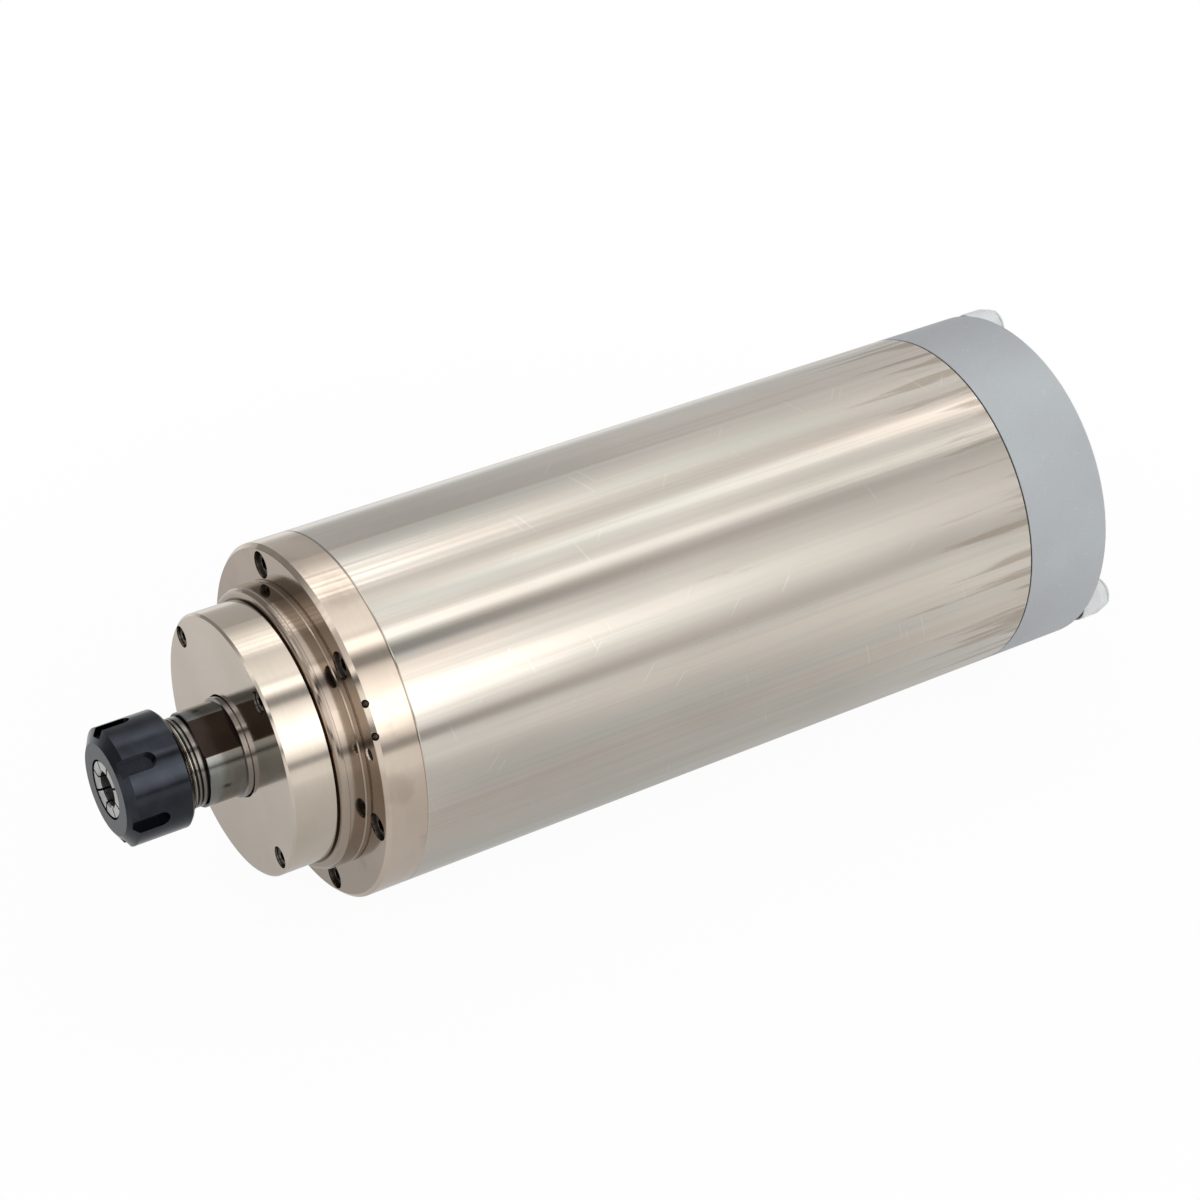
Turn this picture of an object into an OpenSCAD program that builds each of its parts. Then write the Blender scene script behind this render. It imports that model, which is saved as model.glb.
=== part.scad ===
// Liquid-cooled motor spindle for milling, with a slotted collet nut.
// Millimetres. +X runs from the tool end to the rear, +Z is up, and the origin lies on the
// spindle's axis at the flange's front face. Angles round the axis start at +Z and grow
// towards -Y. Stations along the axis end in _x, and sizes in _len, _t, _w, _d or _gap.

/* [Body] */
// Outer diameter of the flange, the shell and the rear cover
body_d = 125; // [123:0.5:135]
// From the flange's front face to the rear cover's rear face
body_len = 298; // [286:1:360]
// Thickness of the front flange's rim
flange_t = 15; // [14:0.5:17]
// Length of the rear cover
cover_len = 35; // [33:0.5:42]
// Wall of the ground outer shell
shell_t = 3; // [2.5:0.1:3.2]
// Chamfer at the flange's front edge
flange_chamfer = 1.5; // [0.5:0.1:2]
// Chamfer at the rear cover's edge
rim_chamfer = 1; // [0.3:0.1:1.5]
// Chamfers that meet in the fine seams at both ends of the shell
seam_chamfer = 0.4; // [0.1:0.1:0.8]

/* [Front flange] */
// Step from the flange's rim in to the centring register
register_step = 12.7; // [12.5:0.1:13.5]
// How far the register stands out of the flange
register_len = 9; // [8:0.5:12]
// Rounding of the register's front edge
register_round = 2.4; // [0.5:0.1:2.6]
// Step between the rounded edge and the register's wall
register_lip = 0.3; // [0:0.1:0.5]
// Width of the relief groove round the register
relief_w = 0.8; // [0.5:0.1:1.2]
// Distance of the relief groove from the flange's face
relief_inset = 0.7; // [0.4:0.1:1.5]
// Length of the spigot inside the water jacket
spigot_len = 25; // [18:1:28]
// Length of the housing behind the front bearings
front_tail_len = 14; // [11:1:16]
// Diameter of the hole behind the front bearings
front_tail_bore_d = 56; // [54:0.5:58]
// Step from the spigot down to the housing behind it
front_tail_step = 7; // [4:0.5:10]
// Diameter of the small hole in the flange's face
port_hole_d = 4; // [3:0.5:5]
// Distance of the small hole from the flange's rim
port_hole_inset = 7.3; // [6:0.1:8]
// Depth of the small hole
port_hole_depth = 10; // [4:1:12]
// Diameter of the two punch marks on the flange's edge
punch_d = 2.6; // [1:0.2:3]

/* [Bearing cap] */
// Step from the register in to the front bearing cap
cap_step = 3.8; // [2.8:0.1:4.3]
// Length of the cap that stands in front of the register
cap_len = 16.2; // [14.5:0.2:20]
// Length of the cap's spigot in the flange
cap_spigot_len = 7; // [6:0.5:9]
// Gap between the cap's mouth and the shaft's collar
mouth_gap = 0.4; // [0.3:0.1:1.2]
// Chamfer at the cap's front edge
cap_chamfer = 0.8; // [0.2:0.1:1.5]
// Chamfer at the cap's rear edge
cap_relief = 0.7; // [0.3:0.1:1.2]

/* [Screws] */
// Number of screws through the flange
flange_screw_n = 6; // [4:1:8]
// Distance of the flange's and cover's screws from the rim
flange_screw_inset = 6.9; // [6:0.1:7.5]
// Angle of the first flange screw
flange_screw_phase = -20.7; // [-40:0.1:0]
// Angle of the first rear cover screw
cover_screw_phase = 49; // [45:0.5:53]
// Thread diameter of the flange and cover screws
big_screw_d = 5; // [4:0.5:5]
// Diameter of the counterbores for those screws
big_cbore_d = 9.6; // [9.2:0.1:10]
// Number of screws through the bearing cap
cap_screw_n = 4; // [3:1:6]
// Distance of the cap's screws from its edge
cap_screw_inset = 4.8; // [4.6:0.1:6.5]
// Angle of the first cap screw
cap_screw_phase = -51.9; // [-80:0.1:0]
// Thread diameter of the cap screws
cap_screw_d = 4; // [3:0.5:4]
// Diameter of the counterbores in the cap
cap_cbore_d = 7.7; // [7.4:0.1:8.2]
// Thread diameter of the screws inside the rear end
inner_screw_d = 3; // [2.5:0.5:3]

/* [Shaft] */
// Diameter of the nut's thread on the shaft
thread_d = 32; // [31:0.5:33]
// Pitch of the nut's thread
thread_pitch = 1.5; // [1:0.5:2]
// Length of the nut's thread
thread_len = 17; // [15:0.5:20]
// Thread that shows behind the nut
thread_show = 3.2; // [1:0.2:5]
// Plain band behind the thread
band_len = 3.5; // [1:0.1:5]
// Undercut behind the plain band
undercut_len = 0.7; // [0.5:0.1:1.5]
// Diameter of the neck that carries the spanner flats
neck_d = 33; // [32.5:0.5:34]
// Length of the spanner flats
flat_len = 13.2; // [10:0.2:18]
// Width across the spanner flats
flat_w = 30; // [29:0.5:31]
// Angle of the first spanner flat
flat_phase = 31; // [0:1:90]
// Collar that shows between the flats and the bearing cap
collar_show = 1.9; // [1:0.1:4]
// Diameter of the shaft in the front bearings
front_seat_d = 35; // [34:0.1:35.5]
// Diameter of the labyrinth flange on the shaft
labyrinth_d = 42; // [40:0.5:43]
// Length of the labyrinth flange
labyrinth_len = 12; // [8:0.5:14]
// Diameter of the shaft in the rotor
rotor_seat_d = 34; // [32:0.5:34]
// Diameter of the shaft between the rotor and the rear bearings
rear_step_d = 31; // [29:0.5:32]
// Diameter of the shaft in the rear bearings
rear_seat_d = 25; // [24:0.1:25.5]
// Length of the shaft behind the rear lock nut
shaft_tail_len = 2; // [1:0.5:4]
// Length of the bore behind the collet, for a long shank
shaft_bore_len = 18; // [8:1:30]

/* [Collet and nut] */
// Outer diameter of the nut
nut_d = 41; // [40:0.5:45]
// Length of the nut
nut_len = 22.5; // [21.5:0.5:26]
// Diameter of the nut's flat front face
nut_face_d = 32; // [30:0.5:35]
// Length of the nut's front cone
nut_cone_len = 2.7; // [1:0.1:4]
// Diameter of the nut's mouth round the collet
nut_mouth_d = 20.8; // [20.4:0.1:22]
// Number of spanner slots in the nut
nut_slot_n = 6; // [4:1:8]
// Width of the nut's spanner slots
nut_slot_w = 5.8; // [4:0.1:6.5]
// Length of the nut's spanner slots
nut_slot_len = 13.3; // [8:0.1:15]
// Depth of the nut's spanner slots
nut_slot_depth = 2.8; // [1.5:0.1:3]
// Angle of the first spanner slot
nut_slot_phase = -20.2; // [-30:0.1:30]
// Largest diameter of the collet
collet_d = 26; // [25.5:0.1:26.5]
// Length of the collet
collet_len = 34; // [31:0.5:36]
// Half angle of the collet's long cone
collet_angle = 8; // [7:0.5:9]
// Diameter of the collet's face
collet_face_d = 19.4; // [18.5:0.1:20]
// How far the collet's face lies inside the nut's face
collet_inset = 0.3; // [0.1:0.1:1]
// Shank diameter that the collet holds
tool_d = 12; // [6:0.5:13]
// Number of slits from each end of the collet
slit_n = 8; // [4:1:8]
// Width of the collet's slits
slit_w = 0.8; // [0.4:0.1:1.2]
// Angle of the first slit in the collet's face
slit_phase = 12.5; // [0:0.5:45]

/* [Bearings] */
// Outer diameter of the front bearings
front_brg_d = 62; // [61:0.5:63]
// Width of a front bearing
front_brg_w = 14; // [13:0.5:15]
// Ball diameter as a share of the bearing's section
ball_share = 0.59; // [0.5:0.01:0.62]
// Number of balls in a front bearing
front_ball_n = 15; // [10:1:16]
// Width of the spacers between the front bearings
spacer_w = 8; // [4:0.5:10]
// Outer diameter of the rear bearings
rear_brg_d = 47; // [46:0.5:48]
// Width of a rear bearing
rear_brg_w = 12; // [11:0.5:12.5]
// Number of balls in a rear bearing
rear_ball_n = 13; // [8:1:14]
// Diameter of the front lock nut
front_lock_d = 52; // [46:1:53]
// Width of the front lock nut
front_lock_w = 10; // [8:0.5:11]
// Diameter of the rear lock nut
rear_lock_d = 38; // [34:1:38.5]
// Width of the rear lock nut
rear_lock_w = 9; // [7:0.5:10]

/* [Motor] */
// Length of the rotor and stator stacks
stack_len = 120; // [80:1:124]
// Outer diameter of the rotor stack
rotor_d = 52; // [48:0.5:53]
// Radial gap between rotor and stator
air_gap = 0.4; // [0.3:0.05:0.8]
// Number of stator slots
slot_n = 24; // [18:6:24]
// Depth of the stator slots as a share of the laminations' depth
slot_share = 0.59; // [0.45:0.01:0.65]
// Width of a stator tooth
tooth_w = 3.4; // [3:0.1:3.8]
// Length of the windings' end turns
end_turn_len = 22; // [14:1:24]
// Number of rotor bars
bar_n = 20; // [14:1:24]
// Diameter of a rotor bar
bar_d = 4; // [3:0.2:4.4]
// Length of a rotor end ring
end_ring_len = 8; // [5:0.5:10]

/* [Water jacket] */
// Wall of the water jacket
jacket_wall = 14.45; // [13:0.05:16]
// Plain length at each end of the jacket
land_len = 24; // [22:0.5:30]
// Width of a water channel
channel_w = 9; // [6:0.5:10]
// Wall between two channels
channel_wall = 5; // [4:0.5:8]
// Depth of the channels
channel_depth = 6; // [4:0.5:7]
// Angle that the uncut rib along the jacket takes up
rib_angle = 16; // [14:1:24]
// Diameter of the water ports
port_d = 4.5; // [3.5:0.1:4.8]

/* [Water fittings] */
// Distance of the fittings from the cover's rim
fitting_inset = 7.3; // [6.9:0.1:7.5]
// Angle of the fitting on the far side
fitting_out_angle = -31; // [-33:0.5:-29]
// Angle of the fitting on the near side
fitting_in_angle = 129; // [127:0.5:131]
// Diameter of the fitting's plastic body
fitting_d = 14.4; // [13:0.1:14.6]
// Height of the dark ring under the plastic body
fitting_base_len = 3.3; // [2:0.1:5]
// Length of the plastic body up to its taper
fitting_len = 8.1; // [6:0.1:12]
// Length of the plastic body's taper
fitting_taper_len = 3.8; // [2:0.1:6]
// Diameter of the body at the end of its taper
fitting_end_d = 12.2; // [11.4:0.1:13]
// Diameter of the hose that it takes
hose_d = 8; // [6:0.5:8]
// How far the release collar stands out
release_show = 1.9; // [1.6:0.1:3]
// Travel of the release collar
release_travel = 0.8; // [0.4:0.1:1]
// Diameter of the stem's thread
stem_d = 9.7; // [9:0.1:10.2]
// Length of the stem's thread
stem_len = 8; // [5:0.5:9]

/* [Power receptacle] */
// Side of the receptacle's square flange
plug_flange_w = 26; // [25:0.5:32]
// Thickness of that flange
plug_flange_t = 2.5; // [1.5:0.1:4]
// Outer diameter of the receptacle's barrel
plug_d = 21; // [19:0.5:23]
// How far the barrel stands out of the flange
plug_len = 13.5; // [10:0.5:17]
// Wall of the barrel
plug_wall = 1.9; // [1.4:0.1:2.2]
// Depth of the open socket
socket_depth = 10; // [8:0.5:11]
// Diameter of a contact pin
pin_d = 2; // [1.5:0.1:2.2]
// Distance of the pins from the receptacle's axis
pin_r = 5.6; // [5.2:0.1:6]

/* [Clearances] */
// Radial gap of a close fit, such as a ring on its seat
fit_gap = 0.04; // [0.02:0.01:0.08]
// Radial gap of a loose fit, such as a shell over a core
slip_gap = 0.05; // [0.03:0.01:0.1]
// Gap round pieces that turn past each other
run_gap = 0.4; // [0.3:0.05:0.6]

/* [Hidden] */

$fn = 96;
small = 0.01;

// Radii of the body
body_r = body_d / 2;
shell_bore_r = body_r - shell_t;
jacket_r = shell_bore_r - slip_gap;
jacket_bore_r = jacket_r - jacket_wall;
register_r = body_r - register_step;
cap_r = register_r - cap_step;
flange_screw_r = body_r - flange_screw_inset;
cap_screw_r = cap_r - cap_screw_inset;
port_hole_r = body_r - port_hole_inset;
fitting_r = body_r - fitting_inset;

// Stations of the body
shell_x = flange_t;
seam_x = body_len - cover_len;
register_x = -register_len;
cap_x = register_x - cap_len;
shell_len = seam_x - shell_x;

// Groove, small hole and marks on the flange
relief_depth = 0.3;
port_hole_angle = 70.8;
punch_angles = [53.9, 64.1];

// Front bearings and the housing round them
front_brg_r = front_brg_d / 2;
front_tail_r = jacket_bore_r - slip_gap - front_tail_step;
brg_1_x = register_x + cap_spigot_len;
brg_2_x = brg_1_x + front_brg_w + spacer_w;
front_shoulder_x = brg_2_x + front_brg_w;
mouth_chamfer = 0.2;
front_tail_x = front_shoulder_x + front_tail_len;

// Shaft and nose
collar_x = cap_x - collar_show;
neck_x = collar_x - flat_len;
band_x = neck_x - undercut_len - band_len;
nose_x = band_x - thread_len;
labyrinth_x = brg_1_x - labyrinth_len;
front_seat_r = front_seat_d / 2;
rotor_seat_r = rotor_seat_d / 2;
rear_seat_r = rear_seat_d / 2;
lock_relief = 0.1;
front_lock_r = front_seat_r - lock_relief;
rear_lock_r = rear_seat_r - lock_relief;
lock_seat_x = front_shoulder_x + front_lock_w + 1;

// Nut and collet
thread_depth = thread_pitch * 0.6134;
socket_gap = 0.05;
nut_rear_x = band_x - thread_show;
nut_x = nut_rear_x - nut_len;
nut_r = nut_d / 2;
thread_r = thread_d / 2;
collet_x = nut_x + collet_inset;
collet_rear_x = collet_x + collet_len;
collet_r = collet_d / 2;
collet_face_r = collet_face_d / 2;
collet_front_r = collet_r - 0.4;
collet_groove_r = collet_r - 1.5;
collet_front_len = (collet_front_r - collet_face_r) / tan(30);
collet_groove_len = 1.8;
collet_cone_x = collet_x + collet_front_len + collet_groove_len;

// Radius of the collet's long cone at a station
function collet_cone_r(x) = collet_r - (x - collet_cone_x) * tan(collet_angle);

// Rear bearings and what holds them
rear_brg_r = rear_brg_d / 2;
rear_spigot_len = 41;
rear_housing_x = seam_x - rear_spigot_len;
rear_float = 0.3;
rear_brg_1_x = rear_housing_x + 4;
rear_brg_2_x = rear_brg_1_x + rear_brg_w;
rear_brg_end_x = rear_brg_2_x + rear_brg_w;
rear_hub_wall = 8.5;
rear_hub_r = rear_brg_r + rear_hub_wall;
rear_web_t = 16;
rear_flange_t = 6;
rear_flange_r = port_inner_r() - 2.35;
rear_deck_x = seam_x + rear_flange_t;
spring_len = 2.6;
retainer_x = rear_brg_end_x + spring_len;
retainer_t = 4;
shaft_end_x = rear_brg_end_x + rear_lock_w + shaft_tail_len;

// Motor, set midway between the two bearing housings
stack_x = (front_tail_x + rear_housing_x - stack_len) / 2;
rotor_r = rotor_d / 2;
stator_bore_r = rotor_r + air_gap;
slot_r = stator_bore_r + 1.6;
slot_depth = (jacket_bore_r - slot_r) * slot_share;
turn_inset = 6;
bar_r = bar_d / 2;
bar_circle_r = rotor_r - bar_r - 1.4;
bar_gap = 0.03;
end_ring_bore_r = bar_circle_r - bar_r - 0.5;
end_ring_r = rotor_r - 0.5;
end_turn_r = rotor_r + 2.4;

// Water channels, as many as the length between the lands takes
channel_pitch = channel_w + channel_wall;
channel_n = floor((shell_len - 2 * land_len + channel_wall) / channel_pitch);
channel_x = shell_x + (shell_len - channel_n * channel_pitch + channel_wall) / 2;
channel_r = jacket_r - channel_depth;
passage_angle = 10;
passage_step = 1;
seal_d = 1.3;
seal_groove_r = jacket_r - seal_d - 0.05;
seal_inset = 16.5;
port_r = port_d / 2;
port_ring_d = 0.9;
function port_inner_r() = fitting_r - port_d / 2;

// Screws: thread, head and hole sizes
big_head_d = big_screw_d * 1.7;
big_head_h = big_screw_d;
big_cbore_depth = big_head_h + 1.4;
big_thread_depth = 13;
cap_head_d = cap_screw_d * 1.75;
cap_head_h = cap_screw_d;
cap_cbore_depth = cap_head_h + 1;
cap_thread_depth = 12;
inner_head_d = inner_screw_d * 1.8;
inner_thread_depth = 9;
thread_gap = 0.05;
hole_play = 0.25;
rear_housing_screw_r = rear_flange_r - inner_head_d / 2 - 0.25;
retainer_screw_r = (rear_brg_r + rear_hub_r) / 2;
rear_screw_n = 6;
rear_screw_phase = 20;
retainer_screw_n = 4;
retainer_screw_phase = 45;

// Rear cover and what stands on it
cover_wall_t = 10;
cover_recess_r = rear_flange_r + 0.2;
cover_recess_len = 15;
cover_cavity_r = cover_recess_r - 3.8;
fitting_body_r = fitting_d / 2;
stem_r = stem_d / 2;
stem_neck_r = stem_r - 0.6;
hose_r = hose_d / 2 + slip_gap;
fitting_x = body_len + fitting_base_len;
fitting_taper_x = fitting_x + fitting_len;
fitting_end_x = fitting_taper_x + fitting_taper_len;
release_end_x = fitting_end_x + release_show;
release_lip = release_show - release_travel - 0.1;
release_r = hose_r + 0.95;
hose_stop_x = fitting_x + 3;
stem_end_x = hose_stop_x - 0.8;
release_floor_x = fitting_taper_x - 1;
plug_r = plug_d / 2;
plug_bore_r = plug_r - plug_wall;
plug_x = body_len + plug_flange_t;
plug_end_x = plug_x + plug_len;
plug_hole_r = plug_bore_r + 0.8;
plug_screw_r = (plug_flange_w / 2 - 3) * sqrt(2);
plug_screw_grip = 6;
plug_insert_x = body_len - cover_wall_t + 3;
plug_floor_x = plug_end_x - socket_depth;
pin_n = 4;
pin_tail_x = body_len - cover_wall_t + 2;
lead_d = 2.2;
lead_r = (end_turn_r + jacket_bore_r) / 2 + 1.3;
lead_bend = 6;
lead_angles = [90, 180, 270];

// Turns a shape drawn round Z onto the spindle's axis, so that its Z becomes +X
module along_axis() {
    rotate([0, 90, 0]) rotate([0, 0, 180]) children();
}

// Copies of a shape at equal angles and one distance from the axis
module ring_of(n, r, phase = 0) {
    for (i = [0 : n - 1]) rotate([0, 0, phase + i * 360 / n]) translate([r, 0, 0]) children();
}

// A plain ring from one station to the next
module tube(x0, x1, inner, outer) {
    rotate_extrude() translate([inner, x0]) square([outer - inner, x1 - x0]);
}

// A plain round bar from one station to the next
module rod(x0, x1, r) {
    translate([0, 0, x0]) cylinder(r = r, h = x1 - x0);
}

// A ring of round section
module torus(x, ring_r, section_r) {
    rotate_extrude() translate([ring_r, x]) circle(r = section_r, $fn = 32);
}

// Socket screw with its head's top at station x; dir is 1 if it points to the rear
module socket_screw(x, dir, d, head_d, head_h, grip) {
    hex_d = d * 0.8 / cos(30);
    translate([0, 0, x]) mirror([0, 0, dir > 0 ? 0 : 1]) difference() {
        union() {
            cylinder(d1 = head_d - 0.5, d2 = head_d, h = 0.25);
            translate([0, 0, 0.25]) cylinder(d = head_d, h = head_h - 0.25);
            translate([0, 0, head_h - small]) cylinder(r = d / 2 - thread_gap, h = grip + small);
        }
        translate([0, 0, -small]) cylinder(d = hex_d, h = d * 0.55, $fn = 6);
    }
}

// Hole for a socket screw: counterbore, then clearance; dir as above
module screw_hole(x, dir, d, cbore_d, cbore_depth, through) {
    translate([0, 0, x]) mirror([0, 0, dir > 0 ? 0 : 1]) {
        translate([0, 0, -small]) cylinder(d = cbore_d, h = cbore_depth + small);
        cylinder(r = d / 2 + hole_play, h = through + small);
    }
}

// Points of a quarter round in a profile, from angle a0 to a1
function arc(cx, cy, r, a0, a1, n = 5) =
    [for (i = [0 : n]) let (a = a0 + (a1 - a0) * i / n) [cx + r * cos(a), cy + r * sin(a)]];

module front_flange() {
    color("#c9c2b8") along_axis() difference() {
        rotate_extrude() polygon(concat(
            [[front_brg_r, register_x]],
            arc(register_r - register_lip - register_round, register_x + register_round,
                register_round, -90, 0),
            [[register_r, register_x + register_round],
             [register_r, -relief_inset - relief_w],
             [register_r - relief_depth, -relief_inset - relief_w * 0.75],
             [register_r - relief_depth, -relief_inset - relief_w * 0.5],
             [register_r, -relief_inset], [register_r, 0], [body_r - flange_chamfer, 0],
             [body_r, flange_chamfer], [body_r, flange_t - seam_chamfer],
             [body_r - seam_chamfer, flange_t], [jacket_bore_r - slip_gap, flange_t],
             [jacket_bore_r - slip_gap, flange_t + spigot_len - 1],
             [jacket_bore_r - slip_gap - 1, flange_t + spigot_len],
             [front_tail_r, flange_t + spigot_len],
             [front_tail_r, front_tail_x], [front_tail_bore_d / 2, front_tail_x],
             [front_tail_bore_d / 2, front_shoulder_x], [front_brg_r, front_shoulder_x]]));
        ring_of(flange_screw_n, flange_screw_r, flange_screw_phase)
            screw_hole(0, 1, big_screw_d, big_cbore_d, big_cbore_depth, flange_t + 1);
        ring_of(cap_screw_n, cap_screw_r, cap_screw_phase)
            rod(register_x - 1, register_x + cap_thread_depth, cap_screw_d / 2);
        small_hole();
        punch_marks();
    }
}

// Small hole in the flange's face, with its chamfer
module small_hole() {
    rotate([0, 0, port_hole_angle]) translate([port_hole_r, 0, 0]) {
        rod(-1, port_hole_depth, port_hole_d / 2);
        translate([0, 0, -small]) cylinder(r1 = port_hole_d / 2 + 0.5, r2 = port_hole_d / 2, h = 0.5);
    }
}

// Two punched assembly marks on the flange's edge
module punch_marks() {
    for (a = punch_angles) rotate([0, 0, a])
        translate([body_r - flange_chamfer / 2, 0, flange_chamfer / 2])
            sphere(d = punch_d, $fn = 24);
}

module flange_screws() {
    color("#2b2b2e") along_axis() ring_of(flange_screw_n, flange_screw_r, flange_screw_phase)
        socket_screw(big_cbore_depth - big_head_h, 1, big_screw_d, big_head_d, big_head_h,
            flange_t - big_cbore_depth + big_thread_depth - 1);
}

module bearing_cap() {
    labyrinth_r = labyrinth_d / 2;
    color("#8e9088") along_axis() difference() {
        rotate_extrude() polygon([
            [front_seat_r + mouth_gap + mouth_chamfer, cap_x], [cap_r - cap_chamfer, cap_x],
            [cap_r, cap_x + cap_chamfer], [cap_r, register_x - cap_relief],
            [cap_r - cap_relief, register_x], [front_brg_r - fit_gap, register_x],
            [front_brg_r - fit_gap, brg_1_x], [front_brg_r - 4.2, brg_1_x],
            [labyrinth_r + run_gap + 1, brg_1_x - 3.5], [labyrinth_r + run_gap, brg_1_x - 4.5],
            [labyrinth_r + run_gap, labyrinth_x - run_gap],
            [front_seat_r + mouth_gap, labyrinth_x - run_gap],
            [front_seat_r + mouth_gap, cap_x + mouth_chamfer]]);
        ring_of(cap_screw_n, cap_screw_r, cap_screw_phase)
            screw_hole(cap_x, 1, cap_screw_d, cap_cbore_d, cap_cbore_depth, cap_len + 1);
    }
}

module cap_screws() {
    color("#2b2b2e") along_axis() ring_of(cap_screw_n, cap_screw_r, cap_screw_phase)
        socket_screw(cap_x + cap_cbore_depth - cap_head_h, 1, cap_screw_d, cap_head_d, cap_head_h,
            cap_len - cap_cbore_depth + cap_thread_depth - 1);
}

module outer_shell() {
    color("#b5aca0") along_axis() rotate_extrude() polygon([
        [shell_bore_r, shell_x], [body_r - seam_chamfer, shell_x],
        [body_r, shell_x + seam_chamfer], [body_r, seam_x - seam_chamfer],
        [body_r - seam_chamfer, seam_x], [shell_bore_r, seam_x]]);
}

// One water channel: a groove that stops short of the rib along the jacket
module channel(i) {
    rotate([0, 0, fitting_out_angle + rib_angle / 2]) rotate_extrude(angle = 360 - rib_angle)
        translate([channel_r, channel_x + i * channel_pitch]) square([channel_depth + 1, channel_w]);
}

// Shallower passage from channel i to the next, on alternate sides of the rib
module crossover(i) {
    side = i % 2 == 0 ? rib_angle / 2 + 1 : -rib_angle / 2 - 1 - passage_angle;
    rotate([0, 0, fitting_out_angle + side]) rotate_extrude(angle = passage_angle)
        translate([channel_r + passage_step, channel_x + i * channel_pitch + channel_w - 1])
            square([channel_depth, channel_wall + 2]);
}

module water_jacket() {
    color("#a9adb0") along_axis() difference() {
        tube(shell_x, seam_x, jacket_bore_r, jacket_r);
        for (i = [0 : channel_n - 1]) channel(i);
        for (i = [0 : channel_n - 2]) crossover(i);
        for (x = [shell_x + seal_inset, seam_x - seal_inset])
            tube(x - seal_d * 0.75, x + seal_d * 0.75, seal_groove_r, jacket_r + 1);
        ring_of(flange_screw_n, flange_screw_r, flange_screw_phase)
            rod(shell_x - 1, shell_x + big_thread_depth, big_screw_d / 2);
        ring_of(flange_screw_n, flange_screw_r, cover_screw_phase)
            rod(seam_x - big_thread_depth, seam_x + 1, big_screw_d / 2);
        ring_of(rear_screw_n, rear_housing_screw_r, rear_screw_phase)
            rod(seam_x - inner_thread_depth, seam_x + 1, inner_screw_d / 2);
        rotate([0, 0, fitting_out_angle]) translate([fitting_r, 0, 0])
            rod(channel_x + channel_w / 2, seam_x + 1, port_r);
        rotate([0, 0, fitting_out_angle + rib_angle / 2]) rotate_extrude(angle = -rib_angle / 2)
            translate([channel_r, channel_x]) square([channel_depth + 1, channel_w]);
        rotate([0, 0, fitting_in_angle]) translate([fitting_r, 0, 0])
            rod(channel_x + (channel_n - 1) * channel_pitch + channel_w / 2, seam_x + 1, port_r);
    }
}

module jacket_o_rings() {
    color("#1c1c1c") along_axis() for (x = [shell_x + seal_inset, seam_x - seal_inset])
        torus(x, seal_groove_r + seal_d / 2 + 0.02, seal_d / 2);
}

// Outline of one stator slot, open to the bore, shrunk by gap on every side
module slot_outline(gap) {
    half_in = PI * slot_r / slot_n - tooth_w / 2 - gap;
    half_out = PI * (slot_r + slot_depth) / slot_n - tooth_w / 2 - gap;
    polygon([[slot_r + gap, -half_in], [slot_r + slot_depth - gap, -half_out],
        [slot_r + slot_depth - gap, half_out], [slot_r + gap, half_in]]);
}

module stator_core() {
    color("#6d6f73") along_axis() difference() {
        tube(stack_x, stack_x + stack_len, stator_bore_r, jacket_bore_r - slip_gap);
        for (i = [0 : slot_n - 1]) rotate([0, 0, i * 360 / slot_n])
            translate([0, 0, stack_x - 1]) linear_extrude(stack_len + 2) {
                slot_outline(0);
                translate([stator_bore_r - 1, -1]) square([slot_r - stator_bore_r + 2, 2]);
            }
    }
}

// Rounded bundle of end turns at one end of the stack
module end_turns(x) {
    outer = slot_r + slot_depth + 4;
    rotate_extrude() polygon([
        [end_turn_r, x + 2], [end_turn_r + 2, x], [outer - 3, x], [outer, x + 3],
        [outer, x + end_turn_len - 5], [outer - 2, x + end_turn_len - 3],
        [end_turn_r + 1, x + end_turn_len - 3], [end_turn_r, x + end_turn_len - 4]]);
}

module stator_windings() {
    color("#a5562a") along_axis() {
        for (i = [0 : slot_n - 1]) rotate([0, 0, i * 360 / slot_n])
            translate([0, 0, stack_x - end_turn_len + turn_inset])
                linear_extrude(stack_len + 2 * (end_turn_len - turn_inset)) slot_outline(0.3);
        end_turns(stack_x - end_turn_len);
        translate([0, 0, 2 * stack_x + stack_len]) mirror([0, 0, 1])
            end_turns(stack_x - end_turn_len);
    }
}

module rotor_core() {
    color("#5f6165") along_axis() difference() {
        tube(stack_x, stack_x + stack_len, rotor_seat_r + fit_gap, rotor_r);
        ring_of(bar_n, bar_circle_r) rod(stack_x - 1, stack_x + stack_len + 1, bar_r + bar_gap);
    }
}

module rotor_cage() {
    color("#c4c7ca") along_axis() {
        tube(stack_x - end_ring_len, stack_x, end_ring_bore_r, end_ring_r);
        tube(stack_x + stack_len, stack_x + stack_len + end_ring_len,
            end_ring_bore_r, end_ring_r);
        ring_of(bar_n, bar_circle_r) rod(stack_x - 1, stack_x + stack_len + 1, bar_r);
    }
}

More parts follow.
